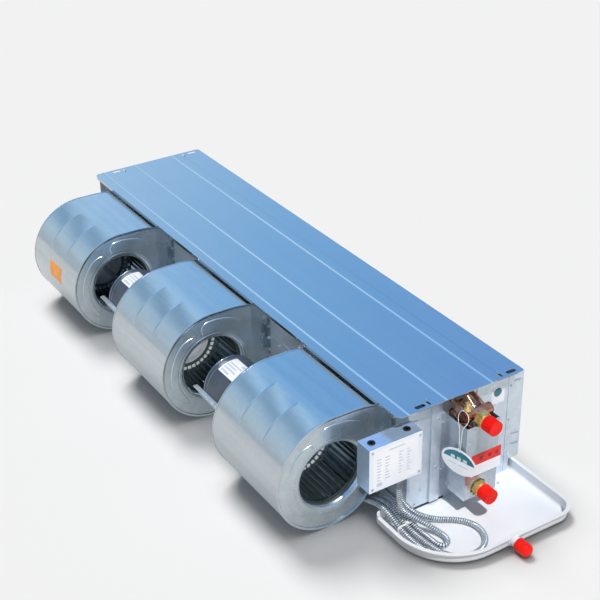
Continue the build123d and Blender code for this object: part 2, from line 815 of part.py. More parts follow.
def from_motor(number, reach, y, z):
    """A point of a route, measured along X from the middle of a motor."""
    return (motor_places[number - 1] + reach, y, z)


# From the box's rear gland round the big loop, then under the blowers to motor 2.
big_loop_route = [
    below_box(1), below_box(1, 29.0), past_end(17.0, 22.0, 44.0), past_end(33.0, 42.0, 21.0),
    past_end(52.0, 72.0, on_pan + 0.6), past_end(74.0, 107.0, on_pan),
    past_end(106.0, 126.5, on_pan), past_end(143.0, 120.0, on_pan), past_end(166.0, 91.0, on_pan),
    past_end(166.0, 54.0, on_pan), past_end(142.0, 26.5, on_pan), past_end(106.0, 17.0, on_pan),
    past_end(68.0, 14.0, on_pan), past_end(36.0, 9.0, 17.0), past_end(6.0, 5.5, on_rim),
    past_end(-26.0, 5.0, on_rim), past_end(-58.0, 7.0, 16.0), past_end(-96.0, 8.5, on_floor),
    past_end(-148.0, 6.0, on_floor), from_motor(2, 181.0, 9.0, on_floor),
    from_motor(2, 128.0, 7.0, on_floor), from_motor(2, 82.0, 10.0, 9.5),
    from_motor(2, 49.0, 10.2, 33.0), below_bracket(motor_gland_places[1], 29.0),
    below_bracket(motor_gland_places[1]),
]

# From the box's front gland round the small loop, then under the blowers to motor 1.
small_loop_route = [
    below_box(0), below_box(0, 26.0), past_end(35.0, 3.0, 52.0), past_end(50.0, 22.0, 34.0),
    past_end(68.0, 40.0, 22.0), past_end(86.0, 53.0, 11.0), past_end(102.0, 57.0, on_pan),
    past_end(115.0, 52.0, on_pan), past_end(120.0, 41.5, on_pan), past_end(114.0, 32.5, on_pan),
    past_end(100.0, 29.8, on_pan), past_end(76.0, 28.5, on_pan), past_end(44.0, 22.4, 15.0),
    past_end(8.0, 18.0, on_rim), past_end(-26.0, 17.5, on_rim), past_end(-58.0, 19.5, 16.0),
    past_end(-96.0, 21.0, on_floor), past_end(-148.0, 18.5, on_floor),
    past_end(-206.0, 21.5, on_floor), from_motor(2, 113.0, 20.0, on_floor),
    from_motor(2, 43.0, 22.5, on_floor), from_motor(2, -22.0, 20.0, on_floor),
    from_motor(1, 355.0, 22.0, on_floor), from_motor(1, 287.0, 18.0, on_floor),
    from_motor(1, 220.0, 20.0, on_floor), from_motor(1, 165.0, 14.0, on_floor),
    from_motor(1, 120.0, 12.0, on_floor), from_motor(1, 82.0, 10.0, 9.5),
    from_motor(1, 49.0, 10.2, 33.0), below_bracket(motor_gland_places[0], 29.0),
    below_bracket(motor_gland_places[0]),
]

# The lead that waits for the supply: from its ferrule on the pan to motor 2.
lead_route = [
    past_end(116.0, 3.0, on_ferrule), past_end(92.0, -1.5, on_ferrule),
    past_end(66.0, -1.5, on_pan), past_end(36.0, -4.5, 17.0), past_end(6.0, -7.5, on_rim),
    past_end(-26.0, -8.0, on_rim), past_end(-58.0, -6.0, 16.0), past_end(-96.0, -5.0, on_floor),
    past_end(-148.0, -7.0, on_floor), from_motor(2, 181.0, -4.0, on_floor),
    from_motor(2, 128.0, -6.0, on_floor), from_motor(2, 78.0, -1.0, on_floor),
    from_motor(2, 41.0, 5.0, 12.0), from_motor(2, 17.0, 9.0, 34.0),
    below_bracket(lead_gland_place, 29.0), below_bracket(lead_gland_place),
]


def route_radii(points):
    """As large an arc at each corner as its two runs allow."""
    radii = []
    for a, b, c in zip(points, points[1:], points[2:]):
        before = Vector(*b) - Vector(*a)
        after = Vector(*c) - Vector(*b)
        half_turn = math.radians(before.get_angle(after)) / 2.0
        radii.append(route_bend_share * min(before.length, after.length) / math.tan(half_turn))
    return radii


def make_conduit(name, points):
    radii = route_radii(points)
    path = FilletPolyline(*points, radius=radii)
    tube = sweep(Plane(origin=points[0], z_dir=path % 0) * Circle(conduit_radius), path)
    volume = math.pi * conduit_radius ** 2 * path.length
    print(name, "length", round(path.length), "radii", [round(r) for r in radii],
          "volume share", round(tube.volume / volume, 4))
    return tube


def make_ferrule():
    """End fitting on the lead, in line with its first run."""
    start = Vector(*lead_route[0])
    way = (start - Vector(*lead_route[1])).normalized()
    plane = Plane(origin=start, z_dir=way)
    body = extrude(plane * Circle(ferrule_radius), ferrule_length)
    tip = Plane(origin=start + way * ferrule_length, z_dir=way)
    return body + extrude(tip * Circle(ferrule_radius - 1.6), 4.0)


def make_cable_tie():
    """Nylon tie round the three strands that run back under the blowers."""
    middle_y = (tie_low_y + tie_high_y) / 2.0
    middle_z = (tie_low_z + tie_high_z) / 2.0
    width = tie_high_y - tie_low_y
    height = tie_high_z - tie_low_z
    loop = RectangleRounded(width + 2.0 * tie_wall, height + 2.0 * tie_wall, 6.0 + tie_wall)
    loop -= RectangleRounded(width, height, 6.0)
    band = extrude(across(tie_x) * Pos(middle_y, middle_z) * loop, tie_width)
    top = tie_high_z + tie_wall - 0.4
    return band + block(tie_x - 1.0, tie_x + tie_width + 1.0, middle_y - 3.0, middle_y + 3.0, top, top + 4.0)


write("top_panel", make_top_panel())
write("fan_deck", make_fan_deck())
write("outlet_collar", make_outlet_collar())
for side, end in ((-1, "far"), (1, "piping")):
    write("end_plate_" + end, make_end_plate(side))
    border = 2.0 + sheet_border
    sheet_in = sheet_x[side] - side * 1.5
    write("tube_sheet_" + end,
          block(min(sheet_in, sheet_x[side]), max(sheet_in, sheet_x[side]), coil_front_y - border,
                fin_back_y + border, coil_low - sheet_border, fin_high + border))

write("end_posts", make_end_post(-1), make_end_post(1))
write("coil_fins", block(sheet_x[-1] + 1.5, sheet_x[1] - 1.5, coil_front_y, fin_back_y, coil_low, fin_high))
write("return_bends_far", *[make_return_bend(-1, row, index)
                            for row in range(coil_rows) for index in range(0, coil_tubes_high - 1, 2)])
write("return_bends_piping", *[make_return_bend(1, row, index)
                               for row in range(coil_rows) for index in range(1, coil_tubes_high - 1, 2)])
write("header_supply", make_header(union_low, 0))
write("header_return", make_header(union_high, coil_tubes_high - 1))
for name, height in (("lower", union_low), ("upper", union_high)):
    write("union_" + name, make_union(height))
    write("pipe_cap_" + name, make_pipe_cap(height))
write("air_vent", make_air_vent())
write("air_vent_screw", make_air_vent_screw())
write("coil_cover", make_coil_cover())

for number, middle in enumerate(blower_places, 1):
    tag = str(number)
    write("scroll_wrap_" + tag, make_scroll_wrap(middle))
    write("side_plate_" + tag + "_far", make_side_plate(middle, -1))
    write("side_plate_" + tag + "_near", make_side_plate(middle, 1))
wheel = make_fan_wheel(0.0)
for number, middle in enumerate(blower_places, 1):
    hub_side = 1 if number == 1 else -1
    write("fan_wheel_" + str(number), Pos(middle, 0, 0) * wheel)
    write("wheel_hub_" + str(number), make_wheel_hub(middle, hub_side))

write("motor_stators", *[drum(middle - stator_length / 2.0, middle + stator_length / 2.0, shaft_y, shaft_z,
                              motor_radius - motor_wall - seat_clearance, stator_bore)
                         for middle in motor_places])
write("motor_bearings", *[ring for middle in motor_places for ring in make_motor_bearings(middle)])
half_motor = motor_length / 2.0 + shaft_stub
shaft_ends = ((blower_places[0] - hub_length / 2.0 - 3.0, blower_places[1] + hub_length / 2.0 + 3.0),
              (motor_places[1] - half_motor, blower_places[2] + hub_length / 2.0 + 3.0))
for number, middle in enumerate(motor_places, 1):
    tag = str(number)
    write("motor_shell_" + tag, make_motor_shell(middle))
    write("motor_rotor_" + tag, drum(middle - stator_length / 2.0, middle + stator_length / 2.0, shaft_y,
                                     shaft_z, stator_bore - rotor_gap, shaft_radius + bore_clearance))
    x0, x1 = shaft_ends[number - 1]
    write("motor_shaft_" + tag, drum(x0, x1, shaft_y, shaft_z, shaft_radius))
    write("motor_bracket_" + tag, make_motor_bracket(middle, bracket_glands[number - 1]))

write("drain_pan", make_drain_pan())
write("drain_cap", make_drain_cap())

write("box_bracket", make_box_bracket())
write("junction_box", make_junction_box())
write("junction_box_lid", make_junction_box_lid())
write("box_grommets", *make_grommets())
write("terminal_block", make_terminal_block())
write("capacitors", make_capacitor(0), make_capacitor(1))
write("conduit_glands",
      *[make_gland(box_back + x, box_y + place, box_low, gland_length) for x, place in box_gland_places],
      *[make_gland(x, conduit_lane_y, bracket_under, gland_length)
        for places in bracket_glands for x in places])
write("conduit_big_loop", make_conduit("big loop", big_loop_route))
write("conduit_small_loop", make_conduit("small loop", small_loop_route))
write("conduit_lead", make_conduit("lead", lead_route))
write("lead_ferrule", make_ferrule())
write("cable_tie", make_cable_tie())
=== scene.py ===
"""Looks of a ceiling fan coil unit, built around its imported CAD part. Metres, +Z up.

Places on the casing are written in millimetres from the low corner of its top panel,
X towards the piping end, Y towards the outlet and Z up from the floor.
"""

import math
import random

import bmesh
import bpy
from mathutils import Matrix, Vector


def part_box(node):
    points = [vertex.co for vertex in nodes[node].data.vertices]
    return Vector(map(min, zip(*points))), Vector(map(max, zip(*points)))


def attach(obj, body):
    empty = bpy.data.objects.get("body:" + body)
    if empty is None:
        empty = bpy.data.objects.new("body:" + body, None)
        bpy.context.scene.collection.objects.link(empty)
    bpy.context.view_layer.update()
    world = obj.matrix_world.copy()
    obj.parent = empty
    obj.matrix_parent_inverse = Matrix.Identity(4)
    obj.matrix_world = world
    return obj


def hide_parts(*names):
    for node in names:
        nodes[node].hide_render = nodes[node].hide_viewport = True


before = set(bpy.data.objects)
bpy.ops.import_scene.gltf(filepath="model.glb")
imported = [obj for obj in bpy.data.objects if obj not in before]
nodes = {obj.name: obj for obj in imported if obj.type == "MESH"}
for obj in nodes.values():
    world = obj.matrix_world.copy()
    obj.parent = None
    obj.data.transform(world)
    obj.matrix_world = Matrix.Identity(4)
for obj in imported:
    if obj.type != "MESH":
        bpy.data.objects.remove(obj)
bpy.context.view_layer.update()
casing_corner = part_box("top_panel")[0]


def on_casing(x, y, z):
    """A place on the casing, in millimetres, as a point in the row frame."""
    return Vector((casing_corner[0] + x / 1000.0, casing_corner[1] + y / 1000.0, z / 1000.0))


def casing_box(node):
    """The low and high corner of a CAD node, in casing millimetres."""
    low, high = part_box(node)
    return [((c[0] - casing_corner[0]) * 1000.0, (c[1] - casing_corner[1]) * 1000.0, c[2] * 1000.0)
            for c in (low, high)]


def colour(code, alpha=1.0):
    """An sRGB hex code as a linear colour."""
    values = [int(code[i:i + 2], 16) / 255.0 for i in (1, 3, 5)]
    linear = [v / 12.92 if v <= 0.04045 else ((v + 0.055) / 1.055) ** 2.4 for v in values]
    return (*linear, alpha)


def add(tree, kind, settings=None, inputs=None):
    """Add one shader node; an input takes a value or another node's output."""
    made = tree.nodes.new(kind)
    for name, value in (settings or {}).items():
        setattr(made, name, value)
    for name, value in (inputs or {}).items():
        if isinstance(value, bpy.types.NodeSocket):
            tree.links.new(value, made.inputs[name])
        else:
            made.inputs[name].default_value = value
    return made


# Camera

def set_camera():
    """The camera of the reference view: beyond the piping end and above it."""
    data = bpy.data.cameras.new("camera")
    data.lens = 78.694
    data.sensor_width = 36.0
    data.clip_end = 50.0
    camera = bpy.data.objects.new("camera", data)
    right = Vector((0.53609, 0.84401, -0.01631))
    up = Vector((-0.40823, 0.27611, 0.87012))
    back = right.cross(up)
    turn = Matrix((right, up, back)).transposed().to_4x4()
    camera.matrix_world = Matrix.Translation(on_casing(2817.58, -1157.60, 1579.18)) @ turn
    bpy.context.scene.collection.objects.link(camera)
    bpy.context.scene.camera = camera


set_camera()


# Finishes

def new_finish(name, base=None, metallic=0.0, roughness=0.5):
    """A material with one principled shader, as the start of a finish."""
    material = bpy.data.materials.new(name)
    material.use_nodes = True
    tree = material.node_tree
    tree.nodes.clear()
    shader = add(tree, "ShaderNodeBsdfPrincipled")
    add(tree, "ShaderNodeOutputMaterial", inputs={"Surface": shader.outputs["BSDF"]})
    if base:
        shader.inputs["Base Color"].default_value = colour(base)
    shader.inputs["Metallic"].default_value = metallic
    shader.inputs["Roughness"].default_value = roughness
    return material, tree, shader


def place_on(tree, stretch=(1.0, 1.0, 1.0)):
    """Object places in metres, stretched along an axis for rolled or drawn grain."""
    where = add(tree, "ShaderNodeTexCoord")
    fit = add(tree, "ShaderNodeMapping", inputs={"Vector": where.outputs["Object"], "Scale": stretch})
    return fit.outputs["Vector"]


def between(tree, factor, low, high):
    """A colour between two, by a factor from 0 to 1."""
    mix = add(tree, "ShaderNodeMix", {"data_type": "RGBA"},
              {"Factor": factor, "A": colour(low), "B": colour(high)})
    return mix.outputs["Result"]


def spread(tree, value, low, high):
    """A texture's 0.3 to 0.7 spread out between two values."""
    fit = add(tree, "ShaderNodeMapRange", inputs={
        "Value": value, "From Min": 0.3, "From Max": 0.7, "To Min": low, "To Max": high})
    return fit.outputs["Result"]


def galvanised(name, dull, bright, rough_low, rough_high, wave, grain=(0.25, 1.0, 1.0), metallic=1.0):
    """Hot-dip galvanised sheet: faint spangle about 9 mm across, long rolling streaks,
    and a slow waviness of the sheet that bends what it reflects."""
    material, tree, shader = new_finish(name, metallic=metallic)
    at = place_on(tree)
    spangle = add(tree, "ShaderNodeTexVoronoi", inputs={"Vector": at, "Scale": 110.0})
    cell = add(tree, "ShaderNodeSeparateColor", inputs={"Color": spangle.outputs["Color"]})
    streak = add(tree, "ShaderNodeTexNoise", inputs={
        "Vector": place_on(tree, (1.2, 34.0, 34.0)), "Scale": 1.6, "Detail": 5.0, "Roughness": 0.6})
    cloud = add(tree, "ShaderNodeTexNoise", inputs={"Vector": at, "Scale": 9.0, "Detail": 4.0})
    blend = add(tree, "ShaderNodeMath", {"operation": "MULTIPLY_ADD"},
                {0: cell.outputs["Red"], 1: 0.22, 2: spread(tree, streak.outputs["Fac"], 0.0, 0.78)})
    tree.links.new(between(tree, blend.outputs["Value"], dull, bright), shader.inputs["Base Color"])
    tree.links.new(spread(tree, cloud.outputs["Fac"], rough_low, rough_high), shader.inputs["Roughness"])
    slow = add(tree, "ShaderNodeTexNoise", inputs={
        "Vector": place_on(tree, grain), "Scale": 7.0, "Detail": 2.0})
    buckle = add(tree, "ShaderNodeBump", inputs={
        "Strength": 1.0, "Distance": wave, "Height": slow.outputs["Fac"]})
    fine = add(tree, "ShaderNodeTexNoise", inputs={"Vector": at, "Scale": 900.0, "Detail": 2.0})
    tooth = add(tree, "ShaderNodeBump", inputs={
        "Strength": 0.25, "Distance": 0.00008, "Height": fine.outputs["Fac"],
        "Normal": buckle.outputs["Normal"]})
    tree.links.new(tooth.outputs["Normal"], shader.inputs["Normal"])
    return material


def drifting_tone(tree, shader, at, scale, detail, low, high):
    """Base colour that drifts between two tones over the surface."""
    drift = add(tree, "ShaderNodeTexNoise", inputs={"Vector": at, "Scale": scale, "Detail": detail})
    tone = between(tree, spread(tree, drift.outputs["Fac"], 0.0, 1.0), low, high)
    tree.links.new(tone, shader.inputs["Base Color"])


def fine_grain(tree, shader, at, scale, strength, depth):
    """Relief of a grain too fine for the mesh; depth in metres."""
    grain = add(tree, "ShaderNodeTexNoise", inputs={"Vector": at, "Scale": scale, "Detail": 2.0})
    relief = add(tree, "ShaderNodeBump", inputs={
        "Strength": strength, "Distance": depth, "Height": grain.outputs["Fac"]})
    tree.links.new(relief.outputs["Normal"], shader.inputs["Normal"])


def plain_metal(name, dull, bright, roughness, scale=60.0, stretch=(1.0, 1.0, 1.0), bump=0.00003,
                metallic=1.0):
    """Bare metal whose tone drifts a little over its surface, with a fine tooth."""
    material, tree, shader = new_finish(name, metallic=metallic, roughness=roughness)
    at = place_on(tree, stretch)
    drifting_tone(tree, shader, at, scale, 4.0, dull, bright)
    fine_grain(tree, shader, at, 20.0 * scale, 0.6, bump)
    return material


def coated(name, low, high, roughness, scale=30.0, relief=0.00006, grain=700.0, shine=0.5):
    """Paint, powder coat, plastic or rubber: an even colour with faint soiling and texture."""
    material, tree, shader = new_finish(name, roughness=roughness)
    at = place_on(tree)
    drifting_tone(tree, shader, at, scale, 5.0, low, high)
    fine_grain(tree, shader, at, grain, 0.5, relief)
    shader.inputs["Specular IOR Level"].default_value = shine
    return material


# Middle of each bead across the panel, and half the width of its painted highlight, in millimetres
bead_places = (23.0, 109.0, 214.0)
bead_highlight_half_width = 2.2


def paint_bead_highlights(material):
    """The panel's beads get a painted highlight: a pale line along each crest."""
    tree = material.node_tree
    shader = next(node for node in tree.nodes if node.bl_idname == "ShaderNodeBsdfPrincipled")
    sheet_tone = shader.inputs["Base Color"].links[0].from_socket
    where = add(tree, "ShaderNodeTexCoord")
    split = add(tree, "ShaderNodeSeparateXYZ", inputs={"Vector": where.outputs["Object"]})
    bead_highlight_mask = 0.0
    for place in bead_places:
        crest = add(tree, "ShaderNodeMath", {"operation": "COMPARE"},
                    {0: split.outputs["Y"], 1: on_casing(0.0, place, 0.0)[1], 2: bead_highlight_half_width / 1000.0})
        bead_highlight_mask = add(tree, "ShaderNodeMath", {"operation": "ADD"},
                    {0: crest.outputs["Value"], 1: bead_highlight_mask}).outputs["Value"]
    mix = add(tree, "ShaderNodeMix", {"data_type": "RGBA"},
              {"Factor": bead_highlight_mask, "A": sheet_tone, "B": colour("#E2EAF1")})
    tree.links.new(mix.outputs["Result"], shader.inputs["Base Color"])


def lean_outward(material, slope):
    """The blowers' side plates are drawn: each falls away from its inlet towards its rim."""
    tree = material.node_tree
    first = next(node for node in tree.nodes
                 if node.bl_idname == "ShaderNodeBump" and not node.inputs["Normal"].is_linked)
    where = add(tree, "ShaderNodeTexCoord")
    from_shaft = add(tree, "ShaderNodeVectorMath", {"operation": "SUBTRACT"},
                     {0: where.outputs["Object"], 1: on_casing(0.0, shaft_y, shaft_z)})
    across = add(tree, "ShaderNodeVectorMath", {"operation": "MULTIPLY"},
                 {0: from_shaft.outputs["Vector"], 1: (0.0, 1.0, 1.0)})
    away = add(tree, "ShaderNodeVectorMath", {"operation": "LENGTH"}, {0: across.outputs["Vector"]})
    fall = add(tree, "ShaderNodeMath", {"operation": "MULTIPLY"}, {0: away.outputs["Value"], 1: -slope})
    drawn = add(tree, "ShaderNodeBump", inputs={
        "Strength": 1.0, "Distance": 1.0, "Height": fall.outputs["Value"]})
    tree.links.new(drawn.outputs["Normal"], first.inputs["Normal"])


# The long top panel is even and bluish; only its beads show as pale lines, which are painted highlights.
panel_sheet = galvanised("galvanised_panel_sheet", "#C3CAD0", "#C7CED4", 0.17, 0.24, 0.0007,
                         (0.12, 1.0, 1.0))
paint_bead_highlights(panel_sheet)
# Blower wraps are smooth bright sheet, so they show clear bands of what is around them.
wrap_sheet = galvanised("galvanised_wrap_sheet", "#C2C9CE", "#D0D6DA", 0.16, 0.24, 0.0009,
                        (0.5, 1.0, 1.0))
# Pressed side plates are duller where they were drawn.
pressed_sheet = galvanised("galvanised_pressed_sheet", "#BAC4C9", "#CCD4D8", 0.23, 0.31, 0.0007,
                           (1.0, 1.0, 1.0), 0.9)
# End plates, deck and brackets: flat galvanised sheet, paler and duller than the wraps.
casing_sheet = galvanised("galvanised_casing_sheet", "#C8D4DE", "#DEE7F0", 0.26, 0.40, 0.0010,
                          (1.0, 1.0, 1.0), 0.62)
# The coil's cover is the casing's sheet painted a little greyer, as painted shade.
cover_sheet_painted_shade = galvanised("galvanised_cover_sheet", "#B2BAC2", "#C6CED6", 0.24, 0.36, 0.0008,
                         metallic=0.75)
# The junction box is folded from smoother sheet; its blue tint is a painted reflection of the blue room.
box_sheet_painted_reflection = galvanised("galvanised_box_sheet", "#AECAEC", "#C4DAF4", 0.18, 0.26, 0.0005, metallic=0.55)
# The wheels' sheet is painted dark, as painted shade for their place inside the blowers, with a dull sheen
# along each blade.
wheel_sheet_painted_shade = galvanised("galvanised_wheel_sheet", "#62767C", "#8A9EA3", 0.34, 0.46, 0.0004, metallic=0.8)
# Folded tabs of the wheel's disc are zinc painted near white and little metallic, a painted highlight for the
# flecks of light they catch.
tab_zinc_painted_highlight = plain_metal("bright_tab_zinc", "#E2E7EA", "#F6F8FA", 0.40, 90.0, metallic=0.25)
# Bright zinc plate on screws, lance locks, louvres and the panel's tabs: small clear glints.
bright_zinc = plain_metal("bright_zinc_plate", "#D2D6DA", "#F0F2F4", 0.22, 90.0)
# Die cast hubs are pale and matt, with the grain of the die.
hub_aluminium = plain_metal("die_cast_aluminium", "#CBD3DC", "#E2E8EE", 0.42, 120.0, bump=0.00006,
                            metallic=0.35)
# Turned shafts and bearings: clean steel with marks of the lathe round it.
turned_steel = plain_metal("turned_steel_shaft", "#A9ADB0", "#CED1D3", 0.24, 80.0, (30.0, 1.0, 1.0))
# Stacked laminations of rotors and stators look dark and finely striped.
rotor_steel = plain_metal("rotor_core_steel", "#5C6064", "#7C8084", 0.45, 60.0, (40.0, 1.0, 1.0))
# Rolled fin stock: thin, pale and soft in its shine.
fin_aluminium = plain_metal("rolled_fin_aluminium", "#B9C0C4", "#D8DDE0", 0.34, 40.0, metallic=0.5)
# Drawn copper is bright and pink, and brown where the torch has burnt it.
copper_tube = plain_metal("drawn_copper_tube", "#C87858", "#F8BA9C", 0.24, 45.0, bump=0.00004)
burnt_copper = plain_metal("brazed_copper_burn", "#4A2018", "#9A5A3E", 0.42, 70.0)
# Machined brass unions are golden with sharp edges of light.
machined_brass = plain_metal("machined_brass", "#E8B054", "#FFE29A", 0.24, 70.0, metallic=0.85)
# Each turn of the conduit's strip is pale, and the seam between two turns is painted dark as painted shade.
conduit_strip = plain_metal("galvanised_conduit_strip", "#B4B9BC", "#DDE0E2", 0.40, 160.0, metallic=0.7)
conduit_seam_painted_shade = plain_metal("shaded_conduit_seam", "#3E4548", "#565D61", 0.55, 160.0, metallic=0.5)
# The motors' rolled rims are bare steel against their enamel.
rim_steel = plain_metal("rolled_rim_steel", "#8C9298", "#B4BABF", 0.30, 60.0)
# Satin grey-black enamel on the motors.
motor_enamel = coated("motor_enamel", "#3A424E", "#4A5462", 0.38, 25.0)
# White powder coat on the pan, with a faint orange peel.
pan_enamel = coated("white_powder_coat", "#E9EDF2", "#F8FAFC", 0.40, 6.0, 0.00012, 420.0)
# The box's lid is sprayed a pale, slightly blue white.
box_enamel = coated("pale_lid_enamel", "#E2E6F2", "#EFF2FA", 0.45, 18.0)
# Moulded caps: a full even red that hardly shines.
cap_plastic = coated("red_cap_plastic", "#E01204", "#F41C08", 0.40, 60.0, 0.00003, 500.0, 0.25)
# Moulded nylon, rubber and gland plastic are even, dull and unmarked.
nylon = coated("white_nylon", "#E4E6E2", "#F4F5F1", 0.42, 90.0)
rubber = coated("black_rubber", "#14171B", "#22262B", 0.62, 90.0)
grey_plastic = coated("grey_gland_plastic", "#5E656B", "#7A8288", 0.5, 60.0)
# Printed vinyl film: flat clean colours with a light gloss.
label_film = coated("white_label_film", "#E9ECF3", "#F6F8FB", 0.30, 12.0, 0.00002, 90.0)
print_grey = coated("grey_print_panel", "#BFC6D6", "#CDD3E0", 0.34, 30.0, 0.00002, 90.0)
red_film = coated("red_label_film", "#D41E14", "#E62A1C", 0.32, 20.0, 0.00002, 90.0)
teal_film = coated("teal_label_film", "#2C6E7C", "#3A8090", 0.32, 20.0, 0.00002, 90.0)
orange_film = coated("orange_label_film", "#EE8F1E", "#F8A83C", 0.36, 40.0, 0.00002, 90.0)
dark_red_film = coated("dark_red_label_print", "#8E0F0A", "#A01510", 0.34, 20.0, 0.00002, 90.0)
tag_print = coated("pale_tag_print", "#B9D4DA", "#CFE3E7", 0.34, 20.0, 0.00002, 90.0)


# Mesh tools

def mesh_data(mesh, name, smooth=True):
    """A finished bmesh as mesh data; the bmesh is freed."""
    for face in mesh.faces:
        face.smooth = smooth
    data = bpy.data.meshes.new(name)
    mesh.to_mesh(data)
    mesh.free()
    return data


def close_mesh(mesh, name, finish, body="casing", sharp=32.0):
    """Turn a bmesh in casing millimetres into a piece that rides on a body."""
    bmesh.ops.remove_doubles(mesh, verts=mesh.verts, dist=0.002)
    bmesh.ops.recalc_face_normals(mesh, faces=mesh.faces)
    limit = math.radians(sharp)
    for edge in mesh.edges:
        if len(edge.link_faces) == 2 and edge.calc_face_angle(0.0) > limit:
            edge.smooth = False
    for vertex in mesh.verts:
        vertex.co = on_casing(*vertex.co)
    return finish_piece(name, mesh_data(mesh, name), finish, body)


def finish_piece(name, data, finish, body="casing"):
    """A piece with its finish that rides on a body."""
    piece = bpy.data.objects.new(name, data)
    bpy.context.scene.collection.objects.link(piece)
    data.materials.append(finish)
    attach(piece, body)
    return piece


def strip(mesh, rows, closed_rows=False):
    """Faces between rows of points; each row may close on itself."""
    made = [[mesh.verts.new(point) for point in row] for row in rows]
    for a, b in zip(made, made[1:]):
        count = len(a)
        for k in range(count if closed_rows else count - 1):
            j = (k + 1) % count
            mesh.faces.new((a[k], a[j], b[j], b[k]))
    return made


def capped_strip(mesh, rows):
    """A closed skin through rings of points, with both ends filled."""
    made = strip(mesh, rows, closed_rows=True)
    mesh.faces.new(made[0])
    mesh.faces.new(made[-1])


def prism(mesh, outline, base, u, v, height):
    """A flat shape in (u, v) at a base point, raised along u x v."""
    up = u.cross(v) * height
    low = [mesh.verts.new(base + u * a + v * b) for a, b in outline]
    high = [mesh.verts.new(base + u * a + v * b + up) for a, b in outline]
    mesh.faces.new(high)
    mesh.faces.new(list(reversed(low)))
    count = len(outline)
    for k in range(count):
        j = (k + 1) % count
        mesh.faces.new((low[k], low[j], high[j], high[k]))


def rounded(width, height, radius, steps=4):
    """Outline of a rectangle with round corners, about its middle."""
    points = []
    for cx, cy, start in ((1, 1, 0), (-1, 1, 90), (-1, -1, 180), (1, -1, 270)):
        for i in range(steps + 1):
            turn = math.radians(start + 90.0 * i / steps)
            points.append((cx * (width / 2.0 - radius) + radius * math.cos(turn),
                           cy * (height / 2.0 - radius) + radius * math.sin(turn)))
    return points


def oval(width, height, count):
    """Outline of an ellipse about its middle."""
    turns = [2.0 * math.pi * i / count for i in range(count)]
    return [(width / 2.0 * math.cos(turn), height / 2.0 * math.sin(turn)) for turn in turns]


def axes_across(axis):
    """Two unit vectors square to an axis and to each other."""
    side = axis.orthogonal().normalized()
    return side, axis.cross(side)


def ring(centre, axes, radius, count, start=0.0):
    """Points round a circle in the plane of two unit vectors."""
    turns = [start + 2.0 * math.pi * k / count for k in range(count)]
    return [centre + (axes[0] * math.cos(turn) + axes[1] * math.sin(turn)) * radius for turn in turns]


def lathe(mesh, centre, axis, profile, sides):
    """A solid of (distance along the axis, radius) pairs turned about it."""
    axis = axis.normalized()
    axes = axes_across(axis)
    rows = [ring(centre + axis * along, axes, radius, sides) for along, radius in profile]
    capped_strip(mesh, rows)


def hex_screw(mesh, place, axis, size):
    """Hexagon washer head of a sheet metal screw; size 1 is 9 mm over its washer."""
    axis = axis.normalized()
    lathe(mesh, place, axis, [(0.0, 4.5 * size), (0.5 * size, 4.5 * size), (1.0 * size, 3.9 * size)], 20)
    axes = axes_across(axis)
    turn = random.uniform(0.0, 1.0)
    head = ((0.9, 3.3), (3.3, 3.3), (3.7, 2.9), (3.7, 2.2), (3.3, 1.9))
    rows = [ring(place + axis * along * size, axes, radius * size, 6, turn) for along, radius in head]
    made = strip(mesh, rows, closed_rows=True)
    mesh.faces.new(made[-1])


def pan_screw(mesh, place, axis, radius):
    """Pan head with a sunk cross recess."""
    axis = axis.normalized()
    side, other = axes_across(axis)
    rows = []
    for along, share, sunk in ((0.0, 1.0, False), (0.5, 1.0, False), (1.3, 0.86, False),
                               (1.8, 0.62, False), (1.85, 0.5, True), (0.9, 0.46, True)):
        row = []
        for k in range(24):
            turn = 2.0 * math.pi * k / 24
            reach = 0.16 if sunk and k % 6 not in (0, 1, 5) else share
            row.append(place + axis * along
                       + (side * math.cos(turn) + other * math.sin(turn)) * radius * reach)
        rows.append(row)
    made = strip(mesh, rows, closed_rows=True)
    mesh.faces.new(made[-1])


along_unit = Vector((1.0, 0.0, 0.0))
towards_outlet = Vector((0.0, 1.0, 0.0))
upward = Vector((0.0, 0.0, 1.0))
random.seed(7)
unit_height = 248.0
casing_start = casing_box("end_plate_far")[0][0]
casing_end = casing_box("end_plate_piping")[1][0]


# Conduits: interlocked steel hose on its route's own smooth line

def smooth_line(name, points):
    """Points along the NURBS curve that has the route's points as its control points."""
    curve = bpy.data.curves.new(name, "CURVE")
    curve.dimensions = "3D"
    curve.resolution_u = 24
    spline = curve.splines.new("NURBS")
    spline.points.add(len(points) - 1)
    for control, point in zip(spline.points, points):
        control.co = (*point, 1.0)
    spline.order_u = 3
    spline.use_endpoint_u = True
    holder = bpy.data.objects.new(name, curve)
    mesh = bpy.data.meshes.new_from_object(holder)
    return [vertex.co.copy() for vertex in mesh.vertices]


def even_steps(line, step):
    """Points at even distances along a line, the way it runs at each, and its length."""
    reach = [0.0]
    for a, b in zip(line, line[1:]):
        reach.append(reach[-1] + (b - a).length)
    count = max(2, round(reach[-1] / step))
    places = []
    index = 0
    for i in range(count + 1):
        distance = reach[-1] * i / count
        while index < len(line) - 2 and reach[index + 1] < distance:
            index += 1
        share = (distance - reach[index]) / max(reach[index + 1] - reach[index], 1e-9)
        places.append(line[index].lerp(line[index + 1], min(1.0, share)))
    ways = [(places[min(i + 1, count)] - places[max(i - 1, 0)]).normalized() for i in range(count + 1)]
    return places, ways, reach[-1]


def carried_axes(ways):
    """Two axes across a line at each of its ways, carried along it without a twist."""
    side = ways[0].orthogonal().normalized()
    for way in ways:
        side = (side - way * side.dot(way)).normalized()
        yield side, way.cross(side)


conduit_diameter = 0.0115
# Turns of the real hose lie about 3 mm apart; they are drawn 4.4 mm apart so that they show.
conduit_pitch = 0.0044
conduit_groove_depth = 0.0015


